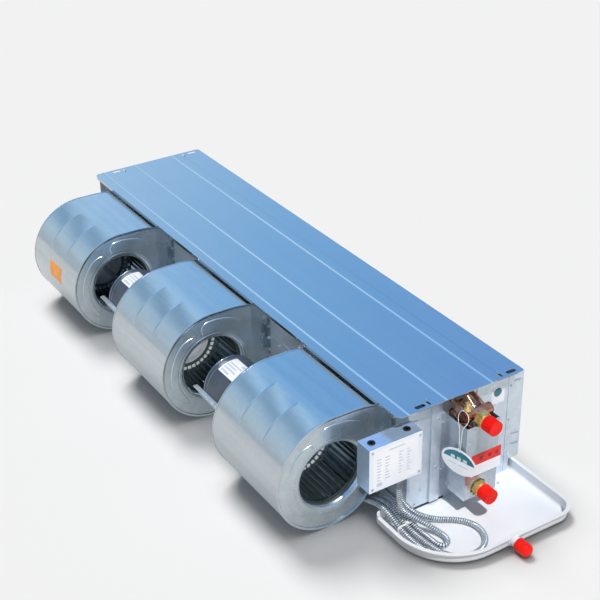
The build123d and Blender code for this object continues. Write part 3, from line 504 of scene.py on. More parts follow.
def hose_mesh(name, line):
    """Tube whose wall steps in and out along a helix, one turn to each pitch; the groove's
    faces take the second finish, a dark painted shade."""
    sides = 20
    places, ways, length = even_steps(line, conduit_pitch / 6.0)
    turns_per_step = length / (len(places) - 1) / conduit_pitch
    mesh = bmesh.new()
    rows = []
    for i, (place, axes) in enumerate(zip(places, carried_axes(ways))):
        row = []
        for k in range(sides):
            turn = 2.0 * math.pi * k / sides
            wave = 0.5 + 0.5 * math.cos(2.0 * math.pi * (turns_per_step * i + k / sides))
            out = conduit_diameter / 2.0 - conduit_groove_depth * (1.0 - wave ** 0.6)
            row.append(place + (axes[0] * math.cos(turn) + axes[1] * math.sin(turn)) * out)
        rows.append(row)
    made = strip(mesh, rows, closed_rows=True)
    mesh.faces.ensure_lookup_table()
    # Faces deep in each groove take the second finish: painted shade in the seam.
    for i in range(len(places) - 1):
        for k in range(sides):
            phase = turns_per_step * (i + 0.5) + (k + 0.5) / sides
            mesh.faces[i * sides + k].material_index = 1 if math.cos(2.0 * math.pi * phase) < -0.45 else 0
    mesh.faces.new(list(reversed(made[0])))
    mesh.faces.new(made[-1])
    return mesh_data(mesh, name), places


# From the box's rear gland round the big loop on the pan, then back to the second motor.
big_loop_route = [
    (1.2662, 0.0120, 0.1050), (1.2662, 0.0120, 0.0760), (1.2730, 0.0220, 0.0440),
    (1.2890, 0.0420, 0.0210), (1.3080, 0.0720, 0.0090), (1.3300, 0.1070, 0.0084),
    (1.3620, 0.1265, 0.0084), (1.3990, 0.1200, 0.0084), (1.4220, 0.0910, 0.0084),
    (1.4220, 0.0540, 0.0084), (1.3980, 0.0265, 0.0084), (1.3620, 0.0170, 0.0084),
    (1.3240, 0.0140, 0.0084), (1.2920, 0.0090, 0.0170), (1.2620, 0.0055, 0.03105),
    (1.2300, 0.0050, 0.03105), (1.1980, 0.0070, 0.0160), (1.1600, 0.0085, 0.0059),
    (1.1080, 0.0060, 0.0059), (1.0530, 0.0090, 0.0059), (1.0000, 0.0070, 0.0059),
    (0.9540, 0.0100, 0.0095), (0.9210, 0.0102, 0.0330), (0.9040, 0.0100, 0.06652),
    (0.9040, 0.0100, 0.09552),
]

# From the box's front gland round the small loop, then back to the first motor.
small_loop_route = [
    (1.2882, -0.0020, 0.1050), (1.2882, -0.0020, 0.0790), (1.2910, 0.0030, 0.0520),
    (1.3060, 0.0220, 0.0340), (1.3240, 0.0400, 0.0220), (1.3420, 0.0530, 0.0110),
    (1.3580, 0.0570, 0.0084), (1.3710, 0.0520, 0.0084), (1.3760, 0.0415, 0.0084),
    (1.3700, 0.0325, 0.0084), (1.3560, 0.0298, 0.0084), (1.3320, 0.0285, 0.0084),
    (1.3000, 0.0224, 0.0150), (1.2640, 0.0180, 0.03105), (1.2300, 0.0175, 0.03105),
    (1.1980, 0.0195, 0.0160), (1.1600, 0.0210, 0.0059), (1.1080, 0.0185, 0.0059),
    (1.0500, 0.0215, 0.0059), (0.9850, 0.0200, 0.0059), (0.9150, 0.0225, 0.0059),
    (0.8500, 0.0200, 0.0059), (0.7800, 0.0220, 0.0059), (0.7120, 0.0180, 0.0059),
    (0.6450, 0.0200, 0.0059), (0.5900, 0.0140, 0.0059), (0.5450, 0.0120, 0.0059),
    (0.5070, 0.0100, 0.0095), (0.4740, 0.0102, 0.0330), (0.4570, 0.0100, 0.06652),
    (0.4570, 0.0100, 0.09552),
]

# The supply lead: from the second motor under the blower to its ferrule on the pan.
lead_route = [
    (0.8800, 0.0100, 0.09552), (0.8800, 0.0100, 0.06652), (0.8890, 0.0090, 0.0340),
    (0.9130, 0.0050, 0.0120), (0.9500, -0.0010, 0.0059), (1.0000, -0.0060, 0.0059),
    (1.0530, -0.0040, 0.0059), (1.1080, -0.0070, 0.0059), (1.1600, -0.0050, 0.0059),
    (1.1980, -0.0060, 0.0160), (1.2300, -0.0080, 0.03105), (1.2620, -0.0075, 0.03105),
    (1.2920, -0.0045, 0.0170), (1.3220, -0.0015, 0.0084), (1.3480, -0.0015, 0.00895),
    (1.3720, 0.0030, 0.00895),
]


def lay_conduit(name, route):
    """One conduit in place of its CAD tube."""
    shift = on_casing(0.0, 0.0, 0.0)
    line = smooth_line(name + "_line", [shift + Vector(point) for point in route])
    data, places = hose_mesh(name + "_hose", line)
    hose = finish_piece(name + "_hose", data, conduit_strip)
    hose.data.materials.append(conduit_seam_painted_shade)
    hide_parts(name)
    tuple(line[0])


lay_conduit("conduit_big_loop", big_loop_route)
lay_conduit("conduit_small_loop", small_loop_route)
lay_conduit("conduit_lead", lead_route)


# CAD nodes: each gets its finish, and folded or moulded pieces get a small round edge

def paint(names, finish, round_edge=0.0, angle=35.0):
    """Give CAD nodes a finish and, in millimetres, a round edge."""
    for name in names:
        node = nodes[name]
        node.data.materials.clear()
        node.data.materials.append(finish)
        if round_edge:
            weld = node.modifiers.new("weld", "WELD")
            weld.merge_threshold = 0.00002
            bevel = node.modifiers.new("edge", "BEVEL")
            bevel.width = round_edge / 1000.0
            bevel.segments = 2
            bevel.limit_method = "ANGLE"
            bevel.angle_limit = math.radians(angle)


blower_numbers = (1, 2, 3)
paint(["top_panel"], panel_sheet, 0.5)
paint(["fan_deck", "outlet_collar", "end_plate_far", "end_plate_piping", "tube_sheet_far",
       "tube_sheet_piping", "box_bracket"], casing_sheet, 0.3)
paint(["end_posts"], casing_sheet, 0.7)
paint(["coil_cover"], cover_sheet_painted_shade, 0.7)
paint(["motor_bracket_1", "motor_bracket_2"], casing_sheet, 0.5)
paint(["junction_box"], box_sheet_painted_reflection, 0.4)
paint(["junction_box_lid"], box_enamel, 0.4)
paint(["side_plate_%d_%s" % (n, side) for n in blower_numbers for side in ("far", "near")],
      pressed_sheet, 0.3)
paint(["scroll_wrap_%d" % n for n in blower_numbers], wrap_sheet)
paint(["fan_wheel_%d" % n for n in blower_numbers], wheel_sheet_painted_shade)
paint(["wheel_hub_%d" % n for n in blower_numbers], hub_aluminium, 0.6)
paint(["motor_shaft_1", "motor_shaft_2"], turned_steel, 0.5)
paint(["motor_rotor_1", "motor_rotor_2", "motor_stators"], rotor_steel)
paint(["motor_bearings"], turned_steel)
paint(["motor_shell_1", "motor_shell_2"], motor_enamel, 1.2, 50.0)
paint(["coil_fins"], fin_aluminium)
paint(["return_bends_far", "return_bends_piping", "header_supply", "header_return"], copper_tube)
paint(["union_upper", "union_lower", "air_vent"], machined_brass, 0.6)
paint(["air_vent_screw"], bright_zinc, 0.3)
paint(["pipe_cap_upper", "pipe_cap_lower"], cap_plastic, 0.5)
paint(["drain_cap"], cap_plastic, 0.6, 20.0)
paint(["drain_pan"], pan_enamel, 0.8, 40.0)
paint(["cable_tie", "terminal_block", "lead_ferrule"], nylon, 0.3)
paint(["box_grommets"], rubber, 0.5)
paint(["capacitors", "conduit_glands"], grey_plastic, 0.4)


# Blowers

shaft_low, shaft_high = casing_box("motor_shaft_1")
shaft_y = (shaft_low[1] + shaft_high[1]) / 2.0
shaft_z = (shaft_low[2] + shaft_high[2]) / 2.0
deck_y = casing_box("fan_deck")[0][1]
lean_outward(pressed_sheet, 0.26)
scroll_start_radius = 111.0
scroll_growth = 0.0365
tongue_angle = 318.0
crest_angle = 87.9
crest_flat_y = -53.0
neck_radius = 254.0
rim_height = 0.6
blower_spans = {n: (casing_box("scroll_wrap_%d" % n)[0][0], casing_box("scroll_wrap_%d" % n)[1][0])
                for n in blower_numbers}


def around_shaft(x, radius, angle):
    """A place at an angle in degrees round the shaft's line, seen from the piping end."""
    turn = math.radians(angle)
    return Vector((x, shaft_y + radius * math.cos(turn), shaft_z + radius * math.sin(turn)))


def rotor_of(number):
    """The body that a blower's wheel turns with: wheels 1 and 2 share a motor."""
    return "blower_rotor_2" if number == 3 else "blower_rotor_1"


def scroll_radius(angle):
    """The wrap's distance from the shaft, which grows from the tongue round to the crest."""
    return scroll_start_radius * math.exp(scroll_growth * math.radians(tongue_angle - angle))


def scroll_spot(angle):
    """A place on the scroll's outside as Y and Z, at an angle seen from the piping end."""
    turn = math.radians(angle)
    radius = scroll_radius(angle)
    return (shaft_y + radius * math.cos(turn), shaft_z + radius * math.sin(turn))


def scroll_line():
    """The wrap's outside from the deck's low edge round to its high edge, with the angle
    round the shaft at each place."""
    places = []
    tongue = scroll_spot(tongue_angle)
    slope = -1.0 / math.tan(math.radians(tongue_angle))
    for i in range(10):
        y = deck_y + (tongue[0] - deck_y) * i / 10.0
        places.append((y, tongue[1] + (y - tongue[0]) * slope))
    for i in range(121):
        places.append(scroll_spot(tongue_angle + (crest_angle - tongue_angle) * i / 120.0))
    crest = places[-1]
    places.append(((crest[0] + crest_flat_y) / 2.0, crest[1]))
    for i in range(15):
        y = crest_flat_y + (deck_y - crest_flat_y) * i / 14.0
        places.append((y, crest[1] - neck_radius + math.sqrt(neck_radius ** 2 - (y - crest_flat_y) ** 2)))
    ways = []
    for i in range(len(places)):
        a = places[max(i - 1, 0)]
        b = places[min(i + 1, len(places) - 1)]
        way = Vector((-(b[1] - a[1]), b[0] - a[0])).normalized()
        if way.dot(Vector((places[i][0] - shaft_y, places[i][1] - shaft_z))) < 0.0:
            way = -way
        ways.append(way)
    angles = [math.degrees(math.atan2(z - shaft_z, y - shaft_y)) % 360.0 for y, z in places]
    return places, ways, angles


scroll_places, scroll_ways, scroll_angles = scroll_line()


def embossed(angle, start, end, fade):
    """Depth in millimetres of an embossed line at an angle: 1 along its middle, 0 past its ends."""
    if angle < start or angle > end:
        return 0.0
    return min(1.0, (angle - start) / fade, (end - angle) / fade)


def make_wrap(number):
    """The blower's wrap: crimped rims that stand proud at both ends, two embossed lines
    part way round, and its edges folded in over the side plates."""
    x0, x1 = blower_spans[number]
    thick = 1.0
    line_places = (x0 + (x1 - x0) / 3.0, x0 + 2.0 * (x1 - x0) / 3.0)
    end = [(1.0, -5.0), (0.25, -5.0), (0.0, -4.6), (0.0, -0.9), (0.25, -0.3), (0.8, 0.0), (3.2, 0.0),
           (3.42, -0.1), (3.5, -rim_height)]
    profile = [(x0 + x, out) for x, out in end]
    for middle in line_places:
        profile += [(middle + step, -rim_height) for step in (-2.6, -1.5, -0.7, 0.0, 0.7, 1.5, 2.6)]
    profile += [(x1 - x, out) for x, out in reversed(end)]
    profile += [(x1 - thick, -rim_height - thick - 0.8), (x1 - thick - 1.5, -rim_height - thick)]
    profile += [(x0 + thick + 1.5, -rim_height - thick), (x0 + thick, -rim_height - thick - 0.8)]
    mesh = bmesh.new()
    rows = []
    for place, way, angle in zip(scroll_places, scroll_ways, scroll_angles):
        depth = embossed(angle, 99.0, 149.0, 5.0)
        row = []
        for x, out in profile:
            if out == -rim_height:
                for middle in line_places:
                    off = abs(x - middle)
                    if off < 2.0:
                        out -= depth * (1.0 if off < 0.4 else 0.75 if off < 1.0 else 0.2)
                        break
            row.append(Vector((x, place[0] + way[0] * out, place[1] + way[1] * out)))
        rows.append(row)
    capped_strip(mesh, rows)
    piece = close_mesh(mesh, "scroll_wrap_%d_sheet" % number, wrap_sheet)
    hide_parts("scroll_wrap_%d" % number)


def crescent(mesh, x, side, start, end, high_gap):
    """A raised panel on a side plate, between its inlet and the wrap."""
    inner = 84.0
    steps = 26
    tapers = [math.sin(math.pi * min(i, steps - i, 4) / 8.0) for i in range(steps + 1)]
    outline = []
    for i, taper in enumerate(tapers):
        angle = start + (end - start) * i / steps
        reach = scroll_radius(angle) - high_gap - inner - 4.0
        outline.append((math.radians(angle), inner + 4.0 + reach * (0.55 + 0.45 * taper)))
    for i, taper in enumerate(tapers):
        angle = end + (start - end) * i / steps
        outline.append((math.radians(angle), inner + 3.0 * (1.0 - taper)))
    middle = Vector((sum(t for t, r in outline) / len(outline), sum(r for t, r in outline) / len(outline)))
    rows = []
    for height, inset in ((-0.3, 0.0), (0.25, 0.0), (0.9, 0.6), (1.2, 1.6), (1.2, 2.4)):
        row = []
        for turn, radius in outline:
            shift = inset if radius < middle[1] else -inset
            swing = inset / radius * (1.0 if turn < middle[0] else -1.0)
            edge = 1.0 if min(abs(turn - math.radians(start)), abs(turn - math.radians(end))) < 0.02 else 0.0
            row.append(Vector((x + side * height,
                               shaft_y + (radius + shift) * math.cos(turn + swing * edge),
                               shaft_z + (radius + shift) * math.sin(turn + swing * edge))))
        rows.append(row)
    made = strip(mesh, rows, closed_rows=True)
    mesh.faces.new(made[-1])


def make_plate_pressings(number):
    """Embossed crescents and the step ring round the inlet on both side plates."""
    x0, x1 = blower_spans[number]
    step_ring = ((81.6, -0.2), (81.3, 0.35), (80.6, 0.6), (79.6, 0.5), (78.6, 0.0), (78.4, -0.4))
    for side, x, name in ((1, x1 - 1.0, "near"), (-1, x0 + 1.0, "far")):
        mesh = bmesh.new()
        crescent(mesh, x, side, 52.0, 105.0, 15.0)
        crescent(mesh, x, side, 118.0, 226.0, 20.0)
        strip(mesh, [[around_shaft(x + side * out, radius, 3.75 * i) for radius, out in step_ring]
                     for i in range(97)])
        close_mesh(mesh, "side_plate_%d_%s_pressing" % (number, name), pressed_sheet)


def make_wheel_tabs(number):
    """The blade tabs folded over at the wheel's middle disc, one beside each punched hole."""
    middle = (blower_spans[number][0] + blower_spans[number][1]) / 2.0
    mesh = bmesh.new()
    for side in (-1, 1):
        for i in range(36):
            turn = math.radians(10.0 * i)
            out = Vector((0.0, math.cos(turn), math.sin(turn)))
            around = Vector((0.0, -math.sin(turn), math.cos(turn)))
            base = Vector((middle + side * 0.7, shaft_y, shaft_z)) + out * 62.0
            if side > 0:
                prism(mesh, rounded(7.4, 7.0, 0.8, 1), base, around, out, -0.9)
            else:
                prism(mesh, rounded(7.0, 7.4, 0.8, 1), base, out, around, -0.9)
    return close_mesh(mesh, "fan_wheel_%d_tabs" % number, tab_zinc_painted_highlight, rotor_of(number))


def make_wheel_plate(number):
    """Pressed stiffening plate on the side of the wheel's disc that has no hub plate."""
    face = (blower_spans[number][0] + blower_spans[number][1]) / 2.0 + 0.7
    profile = ((50.0, 0.0), (49.6, 1.0), (42.0, 1.4), (39.0, 3.0), (26.0, 3.2), (22.0, 1.6), (15.2, 1.6))
    mesh = bmesh.new()
    strip(mesh, [[around_shaft(face + out, radius, 6.0 * i) for i in range(60)]
                 for radius, out in profile], closed_rows=True)
    return close_mesh(mesh, "fan_wheel_%d_plate" % number, hub_aluminium, rotor_of(number))


def make_rim_locks(number):
    """Small lance locks that hold the crimped rims."""
    x0, x1 = blower_spans[number]
    mesh = bmesh.new()
    for angle in (96.0, 118.0, 168.0, 214.0, 262.0, 306.0):
        place = scroll_spot(angle)
        out = Vector((0.0, place[0] - shaft_y, place[1] - shaft_z)).normalized()
        around = along_unit.cross(out)
        for x in (x0 + 3.9, x1 - 3.9):
            base = Vector((x, place[0], place[1])) - out * 1.0
            prism(mesh, rounded(2.4, 5.0, 0.8, 2), base, along_unit, around, 0.75)
    close_mesh(mesh, "scroll_wrap_%d_locks" % number, bright_zinc)


wheel_pieces = [make_wheel_plate(2), make_wheel_plate(3)]
for number in blower_numbers:
    make_wrap(number)
    make_plate_pressings(number)
    tabs = make_wheel_tabs(number)
    if number > 1:
        wheel_pieces += [tabs, nodes["fan_wheel_%d" % number], nodes["wheel_hub_%d" % number]]
    make_rim_locks(number)


# Screws that hold the blowers, brackets and casing

def screw_group(name, places, pan=False, size=1.0):
    """One piece of several screws: places are (point, way out)."""
    mesh = bmesh.new()
    for point, way in places:
        if pan:
            pan_screw(mesh, Vector(point), way, 3.6 * size)
        else:
            hex_screw(mesh, Vector(point), way, size)
    close_mesh(mesh, name, bright_zinc, sharp=25.0)


flange_screws = []
for number in blower_numbers:
    x0, x1 = blower_spans[number]
    for x in (x0 + 1.0 - 6.5, x1 - 1.0 + 6.5):
        for z in (118.0, 146.0, 174.0, 202.0, 224.0):
            flange_screws.append(((x, deck_y - 1.0, z), -towards_outlet))
screw_group("blower_flange_screws", flange_screws)

bracket_screws = []
for number in (1, 2):
    low, high = casing_box("motor_bracket_%d" % number)
    for x in (low[0] + 14.0, (low[0] + high[0]) / 2.0, high[0] - 14.0):
        for z in (shaft_z + 33.5, shaft_z - 14.0):
            bracket_screws.append(((x, deck_y - 2.0, z), -towards_outlet))
screw_group("bracket_screws", bracket_screws)


# Flat labels: a film with plain printed shapes on it, nothing to read

def end_film(name, outlines, base, height, finish):
    """Thin flat shapes that face the piping end: outlines in (Y, Z) about a base point."""
    mesh = bmesh.new()
    for outline in outlines:
        prism(mesh, outline, Vector(base), towards_outlet, upward, height)
    close_mesh(mesh, name, finish)


def shifted(outline, u, v):
    """The same outline with its middle moved."""
    return [(a + u, b + v) for a, b in outline]


def print_rows(width, height, columns, rows, share=0.62, bar=0.34):
    """Plain grey bars of several lengths in rows and columns."""
    bars = []
    for i in range(columns):
        for j in range(rows):
            cell_u = width / columns
            cell_v = height / rows
            length = cell_u * share * random.uniform(0.45, 1.0)
            left = -width / 2.0 + cell_u * i
            top = height / 2.0 - cell_v * (j + 0.5)
            shape = rounded(length, cell_v * bar, cell_v * bar * 0.3, 1)
            bars.append(shifted(shape, left + length / 2.0, top))
    return bars


# Motors: rolled rims, end screws and a label bent round the shell

motor_centres = {}
for number in (1, 2):
    low, high = casing_box("motor_shell_%d" % number)
    motor_centres[number] = (low[0] + high[0]) / 2.0
motor_radius = 60.0


def make_motor_rims(number):
    """Rolled rim beads at both ends of the shell and a seam bead near each."""
    middle = motor_centres[number]
    mesh = bmesh.new()
    for side in (-1, 1):
        for at, size in ((46.0, 1.1), (35.0, 0.6)):
            rows = []
            for k in range(13):
                turn = math.pi * k / 12.0
                x = middle + side * (at - size * math.cos(turn))
                radius = motor_radius - 0.2 + size * math.sin(turn)
                rows.append([around_shaft(x, radius, 3.75 * i) for i in range(96)])
            strip(mesh, rows, closed_rows=True)
    close_mesh(mesh, "motor_shell_%d_rims" % number, rim_steel)


def make_motor_ends(number):
    """Through bolts and two raised rings round the bearing boss on both ends."""
    middle = motor_centres[number]
    bolts = []
    for side in (-1, 1):
        for angle in (45.0, 135.0, 225.0, 315.0):
            bolts.append((around_shaft(middle + side * 43.2, 44.0, angle), along_unit * side))
    screw_group("motor_%d_through_bolts" % number, bolts, size=0.8)
    mesh = bmesh.new()
    for side in (-1, 1):
        face = middle + side * 42.8
        for inner, outer in ((23.5, 26.0), (31.0, 33.0)):
            profile = ((inner, -0.2), (inner + 0.3, 0.6), (outer - 0.3, 0.6), (outer, -0.2))
            strip(mesh, [[around_shaft(face + side * out, radius, 7.5 * i) for i in range(48)]
                         for radius, out in profile], closed_rows=True)
    close_mesh(mesh, "motor_%d_end_rings" % number, motor_enamel)


def bent_label(name, x0, x1, start, end, radius, finish, thick=0.25):
    """A film that follows the motor's shell between two angles."""
    section = ((x0, -0.1), (x0, thick), (x1, thick), (x1, -0.1))
    steps = 14
    mesh = bmesh.new()
    capped_strip(mesh, [[around_shaft(x, radius + out, start + (end - start) * i / steps)
                         for x, out in section] for i in range(steps + 1)])
    close_mesh(mesh, name, finish)


def make_motor_label(number):
    """A bare film with plain printed bars."""
    middle = motor_centres[number]
    bent_label("motor_%d_label" % number, middle - 31.0, middle + 25.0, 79.0, 124.0, motor_radius, label_film)
    for row, (start, end, from_x, to_x) in enumerate((
            (116.0, 120.5, -27.0, 2.0), (108.0, 112.0, -27.0, 14.0), (101.0, 104.5, -27.0, 8.0),
            (94.0, 97.5, -27.0, 16.0), (84.0, 90.0, 4.0, 20.0))):
        bent_label("motor_%d_label_print_%d" % (number, row), middle + from_x, middle + to_x, start, end,
                   motor_radius + 0.2, print_grey, 0.15)


for number in (1, 2):
    make_motor_rims(number)
    make_motor_ends(number)
    make_motor_label(number)


# Junction box: lid screws and a label

lid_low, lid_high = casing_box("junction_box_lid")
lid_face = lid_high[0]
lid_middle = ((lid_low[1] + lid_high[1]) / 2.0, (lid_low[2] + lid_high[2]) / 2.0)


def make_box_details():
    """Lid screws and a label with plain rows of bars."""
    corners = [((lid_face - 0.1, y, z), along_unit)
               for y in (lid_low[1] + 6.0, lid_high[1] - 6.0) for z in (lid_low[2] + 7.0, lid_high[2] - 7.0)]
    screw_group("junction_box_lid_screws", corners, pan=True, size=0.85)
    base = (lid_face - 0.05, lid_middle[0], lid_middle[1])
    end_film("junction_box_label", [rounded(98.0, 82.0, 2.0)], base, 0.25, label_film)
    on_film = Vector(base) + along_unit * 0.2
    bars = [shifted(rounded(34.0, 2.6, 0.6, 1), 2.0, 34.0)]
    bars += [shifted(bar, -24.0, -2.0) for bar in print_rows(36.0, 52.0, 2, 8)]
    bars += [shifted(bar, 24.0, -2.0) for bar in print_rows(36.0, 52.0, 2, 8)]
    bars += [shifted(rounded(12.0, 8.0, 1.5, 2), -36.0, -34.0)]
    end_film("junction_box_label_print", bars, on_film, 0.12, print_grey)


def make_box_ear():
    """Screws of the ear that carries the box, beside the end plate's post."""
    low, high = casing_box("box_bracket")
    places = [((high[0], high[1] - 9.0, z), along_unit) for z in (low[2] + 10.0, high[2] - 10.0)]
    screw_group("box_bracket_screws", places, size=0.8)


make_box_details()
make_box_ear()


# Coil cover: bolts, a band label and a hanging tag

cover_low, cover_high = casing_box("coil_cover")
cover_face = cover_high[0]
cover_side = cover_low[1] + 9.0
tag_middle = Vector((1308.5, cover_side - 4.8, 122.7))


def make_cover_details():
    """Bolts, the screws of its ears and the white and red band label."""
    bolts = [((cover_face - 0.1, y, z), along_unit) for y, z in
             ((145.0, 191.0), (203.0, 194.0), (129.5, 167.0), (207.0, 46.0), (131.0, 68.0), (144.0, 49.0))]
    screw_group("coil_cover_bolts", bolts, pan=True, size=0.75)
    ears = [((casing_end + 1.0, y, z), along_unit) for y in (cover_low[1] + 4.5, cover_high[1] - 4.5)
            for z in (76.0, 182.0)]
    screw_group("coil_cover_ear_screws", ears, size=0.62)
    base = (cover_face - 0.05, 174.0, 99.0)
    end_film("cover_label_white", [rounded(70.0, 24.0, 0.8, 2)], base, 0.22, label_film)
    base = (cover_face - 0.05, 174.0, 123.0)
    end_film("cover_label_red", [rounded(70.0, 24.2, 0.8, 2)], base, 0.22, red_film)
    marks = [shifted(rounded(8.0, 8.0, 2.0, 2), at, 0.0) for at in (-12.0, 8.0, 25.0)]
    end_film("cover_label_marks", marks, (cover_face + 0.15, 174.0, 123.0), 0.12, dark_red_film)


def ellipse_part(width, height, floor, count=48):
    """The part of an ellipse above a height."""
    points = []
    for i in range(count):
        turn = 2.0 * math.pi * i / count
        v = height / 2.0 * math.sin(turn)
        if v >= floor:
            points.append((width / 2.0 * math.cos(turn), v))
    return points


def make_tag():
    """Oval card that hangs from a thin loop and rests on the cover's near edge."""
    u = Vector((0.969, 0.246, 0.0)).normalized()
    v = upward
    middle = tag_middle
    mesh = bmesh.new()
    prism(mesh, oval(80.0, 55.0, 48), middle, u, v, 0.6)
    close_mesh(mesh, "hanging_tag", label_film)
    mesh = bmesh.new()
    prism(mesh, ellipse_part(71.0, 46.0, 1.0), middle + u.cross(v) * 0.55, u, v, 0.15)
    close_mesh(mesh, "hanging_tag_field", teal_film)
    mesh = bmesh.new()
    for at, width in ((-14.0, 9.0), (0.0, 9.0), (14.0, 9.0)):
        prism(mesh, shifted(rounded(width, 7.0, 1.2, 2), at, 7.0), middle + u.cross(v) * 0.66, u, v, 0.12)
    for at, width in ((-15.0, 20.0), (10.0, 22.0)):
        prism(mesh, shifted(rounded(width, 2.2, 0.6, 1), at, -7.5), middle + u.cross(v) * 0.55, u, v, 0.12)
    close_mesh(mesh, "hanging_tag_print", tag_print)


make_cover_details()
make_tag()


def hang_tag():
    """Thin nylon loop over the return header's end and through the tag's hole."""
    hole = tag_middle + Vector((0.0, -0.9, 22.0))
    loop = [(1301.0, 134.2, 224.6), (1292.0, 134.0, 224.4), (1286.8, 133.0, 214.0), (1290.0, 128.5, 206.0),
            (1299.0, cover_side - 1.6, 200.0), (1303.0, cover_side - 2.0, 190.0),
            (1306.0, cover_side - 4.0, 165.0), (hole[0] - 1.5, hole[1], hole[2]),
            (hole[0] + 1.5, hole[1], hole[2]), (1311.0, cover_side - 4.0, 165.0),
            (1309.5, cover_side - 2.0, 190.0), (1313.0, cover_side - 1.6, 200.0), (1316.0, 128.5, 206.0),
            (1315.2, 133.0, 214.0), (1310.5, 134.0, 224.4), (1302.0, 134.2, 224.6)]
    line = smooth_line("tag_loop_line", [on_casing(*point) for point in loop])
    places, ways, length = even_steps(line, 0.002)
    diameter = 0.0014
    mesh = bmesh.new()
    capped_strip(mesh, [ring(place, axes, diameter / 2.0, 8)
                        for place, axes in zip(places, carried_axes(ways))])
    cord = finish_piece("tag_loop", mesh_data(mesh, "tag_loop"), nylon)
    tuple(line[0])


hang_tag()


# Casing ends: post and plate screws, flanges of the duct collar with their louvres, a label

collar_low, collar_high = casing_box("outlet_collar")
post_low, post_high = casing_box("end_posts")
plate_back = casing_box("end_plate_piping")[1][1]


def make_casing_end(side, name):
    """What is screwed or pressed on one end: side is 1 at the piping end, -1 at the far end."""
    face = casing_end if side > 0 else casing_start
    post_face = post_high[0] if side > 0 else post_low[0]
    collar_face = collar_high[0] if side > 0 else collar_low[0]
    out = along_unit * side
    screws = [((post_face, 105.0, z), out) for z in (197.0, 88.0)]
    screws += [((face, 73.0, 45.0), out), ((face, 60.0, 228.0), out), ((face, 60.0, 14.0), out)]
    screws += [((collar_face + side * 1.0, 284.0, z), out) for z in (201.0, 122.0, 45.0)]
    screw_group("casing_%s_screws" % name, screws, size=0.72)
    front, back, height = plate_back + 0.6, 290.0, 234.0
    middle = Vector((collar_face - side * 0.1, (front + back) / 2.0, 120.0))
    mesh = bmesh.new()
    if side > 0:
        prism(mesh, rounded(back - front, height, 0.6, 2), middle, towards_outlet, upward, 1.3)
    else:
        prism(mesh, rounded(height, back - front, 0.6, 2), middle, upward, towards_outlet, 1.3)
    close_mesh(mesh, "outlet_collar_%s_flange" % name, casing_sheet)
    lip = ((-0.1, -2.2), (0.5, -1.9), (1.6, 0.4), (1.9, 1.2), (1.4, 1.6), (-0.1, 1.7))
    mesh = bmesh.new()
    for z in (208.0, 84.0, 60.0):
        rows = []
        for y in (294.0, 295.0, 303.0, 311.0, 312.0):
            ends = 0.15 if y in (294.0, 312.0) else 1.0
            tilt = -0.10 * (y - 303.0)
            rows.append([Vector((collar_face + side * rise * ends, y, z + tilt + at)) for rise, at in lip])
        capped_strip(mesh, rows)
    close_mesh(mesh, "outlet_collar_%s_louvres" % name, bright_zinc)


make_casing_end(1, "piping")
make_casing_end(-1, "far")
ear_middle = (casing_start, deck_y / 2.0, 201.0)
end_film("end_plate_far_ear", [rounded(deck_y - 2.0, 90.0, 1.0, 2)], ear_middle, 1.2, casing_sheet)
label_middle = (casing_end - 0.05, 252.0, 192.0)
end_film("end_plate_label", [rounded(32.0, 36.0, 0.8, 2)], label_middle, 0.22, label_film)
end_film("end_plate_label_disc", [oval(19.0, 19.0, 32)], (casing_end + 0.15, 251.0, 199.0), 0.12, teal_film)


# Top panel: upright tabs beside the slots; black pads under the near ones and a black strip below are painted
# shade

def make_panel_details():
    """Tabs in pairs at both ends; four black pads under the piping end and a black strip at the end plate's
    foot, both painted shade.
    """
    end = casing_box("top_panel")[1][0]
    mesh = bmesh.new()
    for x in (19.5, end - 19.5):
        for y in (75.0, 242.0):
            foot = Vector((x, y - 0.5, unit_height + 1.6))
            prism(mesh, rounded(7.0, 4.4, 1.2, 2), foot, along_unit, upward, -1.0)
    close_mesh(mesh, "top_panel_tabs", bright_zinc)
    # Painted shade: black pads under the near slots darken what shows through them.
    mesh = bmesh.new()
    for y in (55.0, 75.0, 242.0, 267.0):
        middle = Vector((end - 11.5, y, unit_height - 4.2))
        prism(mesh, rounded(18.0, 26.0, 1.0, 2), middle, along_unit, towards_outlet, 3.0)
    close_mesh(mesh, "top_panel_dark_pads_painted_shade", rubber)
    # Painted shade: a thin black strip along the end plate's foot darkens the gap over the pan.
    middle = (casing_end - 0.05, 86.0, 5.2)
    end_film("end_plate_dark_strip_painted_shade", [rounded(86.0, 4.6, 0.6, 1)], middle, 0.5, rubber)


make_panel_details()


# Copper: brazed collars where the bends and headers meet, burnt a little by the torch

def make_braze_collars():
    """Rings of braze where the tubes enter the headers, and round the headers' ends."""
    mesh = bmesh.new()
    for node, header_z in union_heights.items():
        low, high = casing_box(node)
        for y in (141.0, 163.0, 185.0):
            lathe(mesh, Vector((casing_end + 34.0, y, header_z)), along_unit,
                  [(-1.6, 5.4), (-0.6, 6.3), (1.0, 6.3), (2.2, 5.4)], 20)
        for y in (low[1] - 0.05, high[1] + 0.05):
            lathe(mesh, Vector((header_x, y, header_z)), towards_outlet if y > 150.0 else -towards_outlet,
                  [(-1.8, 11.3), (-0.4, 11.3), (0.5, 10.2), (0.9, 6.0)], 28)
    close_mesh(mesh, "header_braze_collars", burnt_copper)


def make_bend_collars():
    """Flared sockets at the foot of each return bend on the piping end."""
    mesh = bmesh.new()
    for row, y in enumerate((141.0, 163.0, 185.0)):
        for index in range(8):
            z = first_tube_z + 12.7 * (row % 2) + 25.4 * index
            for x, way in ((casing_end - 0.9, along_unit), (casing_start + 0.9, -along_unit)):
                lathe(mesh, Vector((x, y, z)), way, [(0.0, 5.9), (2.6, 5.7), (3.4, 5.2), (3.4, 4.85)], 20)
    close_mesh(mesh, "return_bend_sockets", burnt_copper)


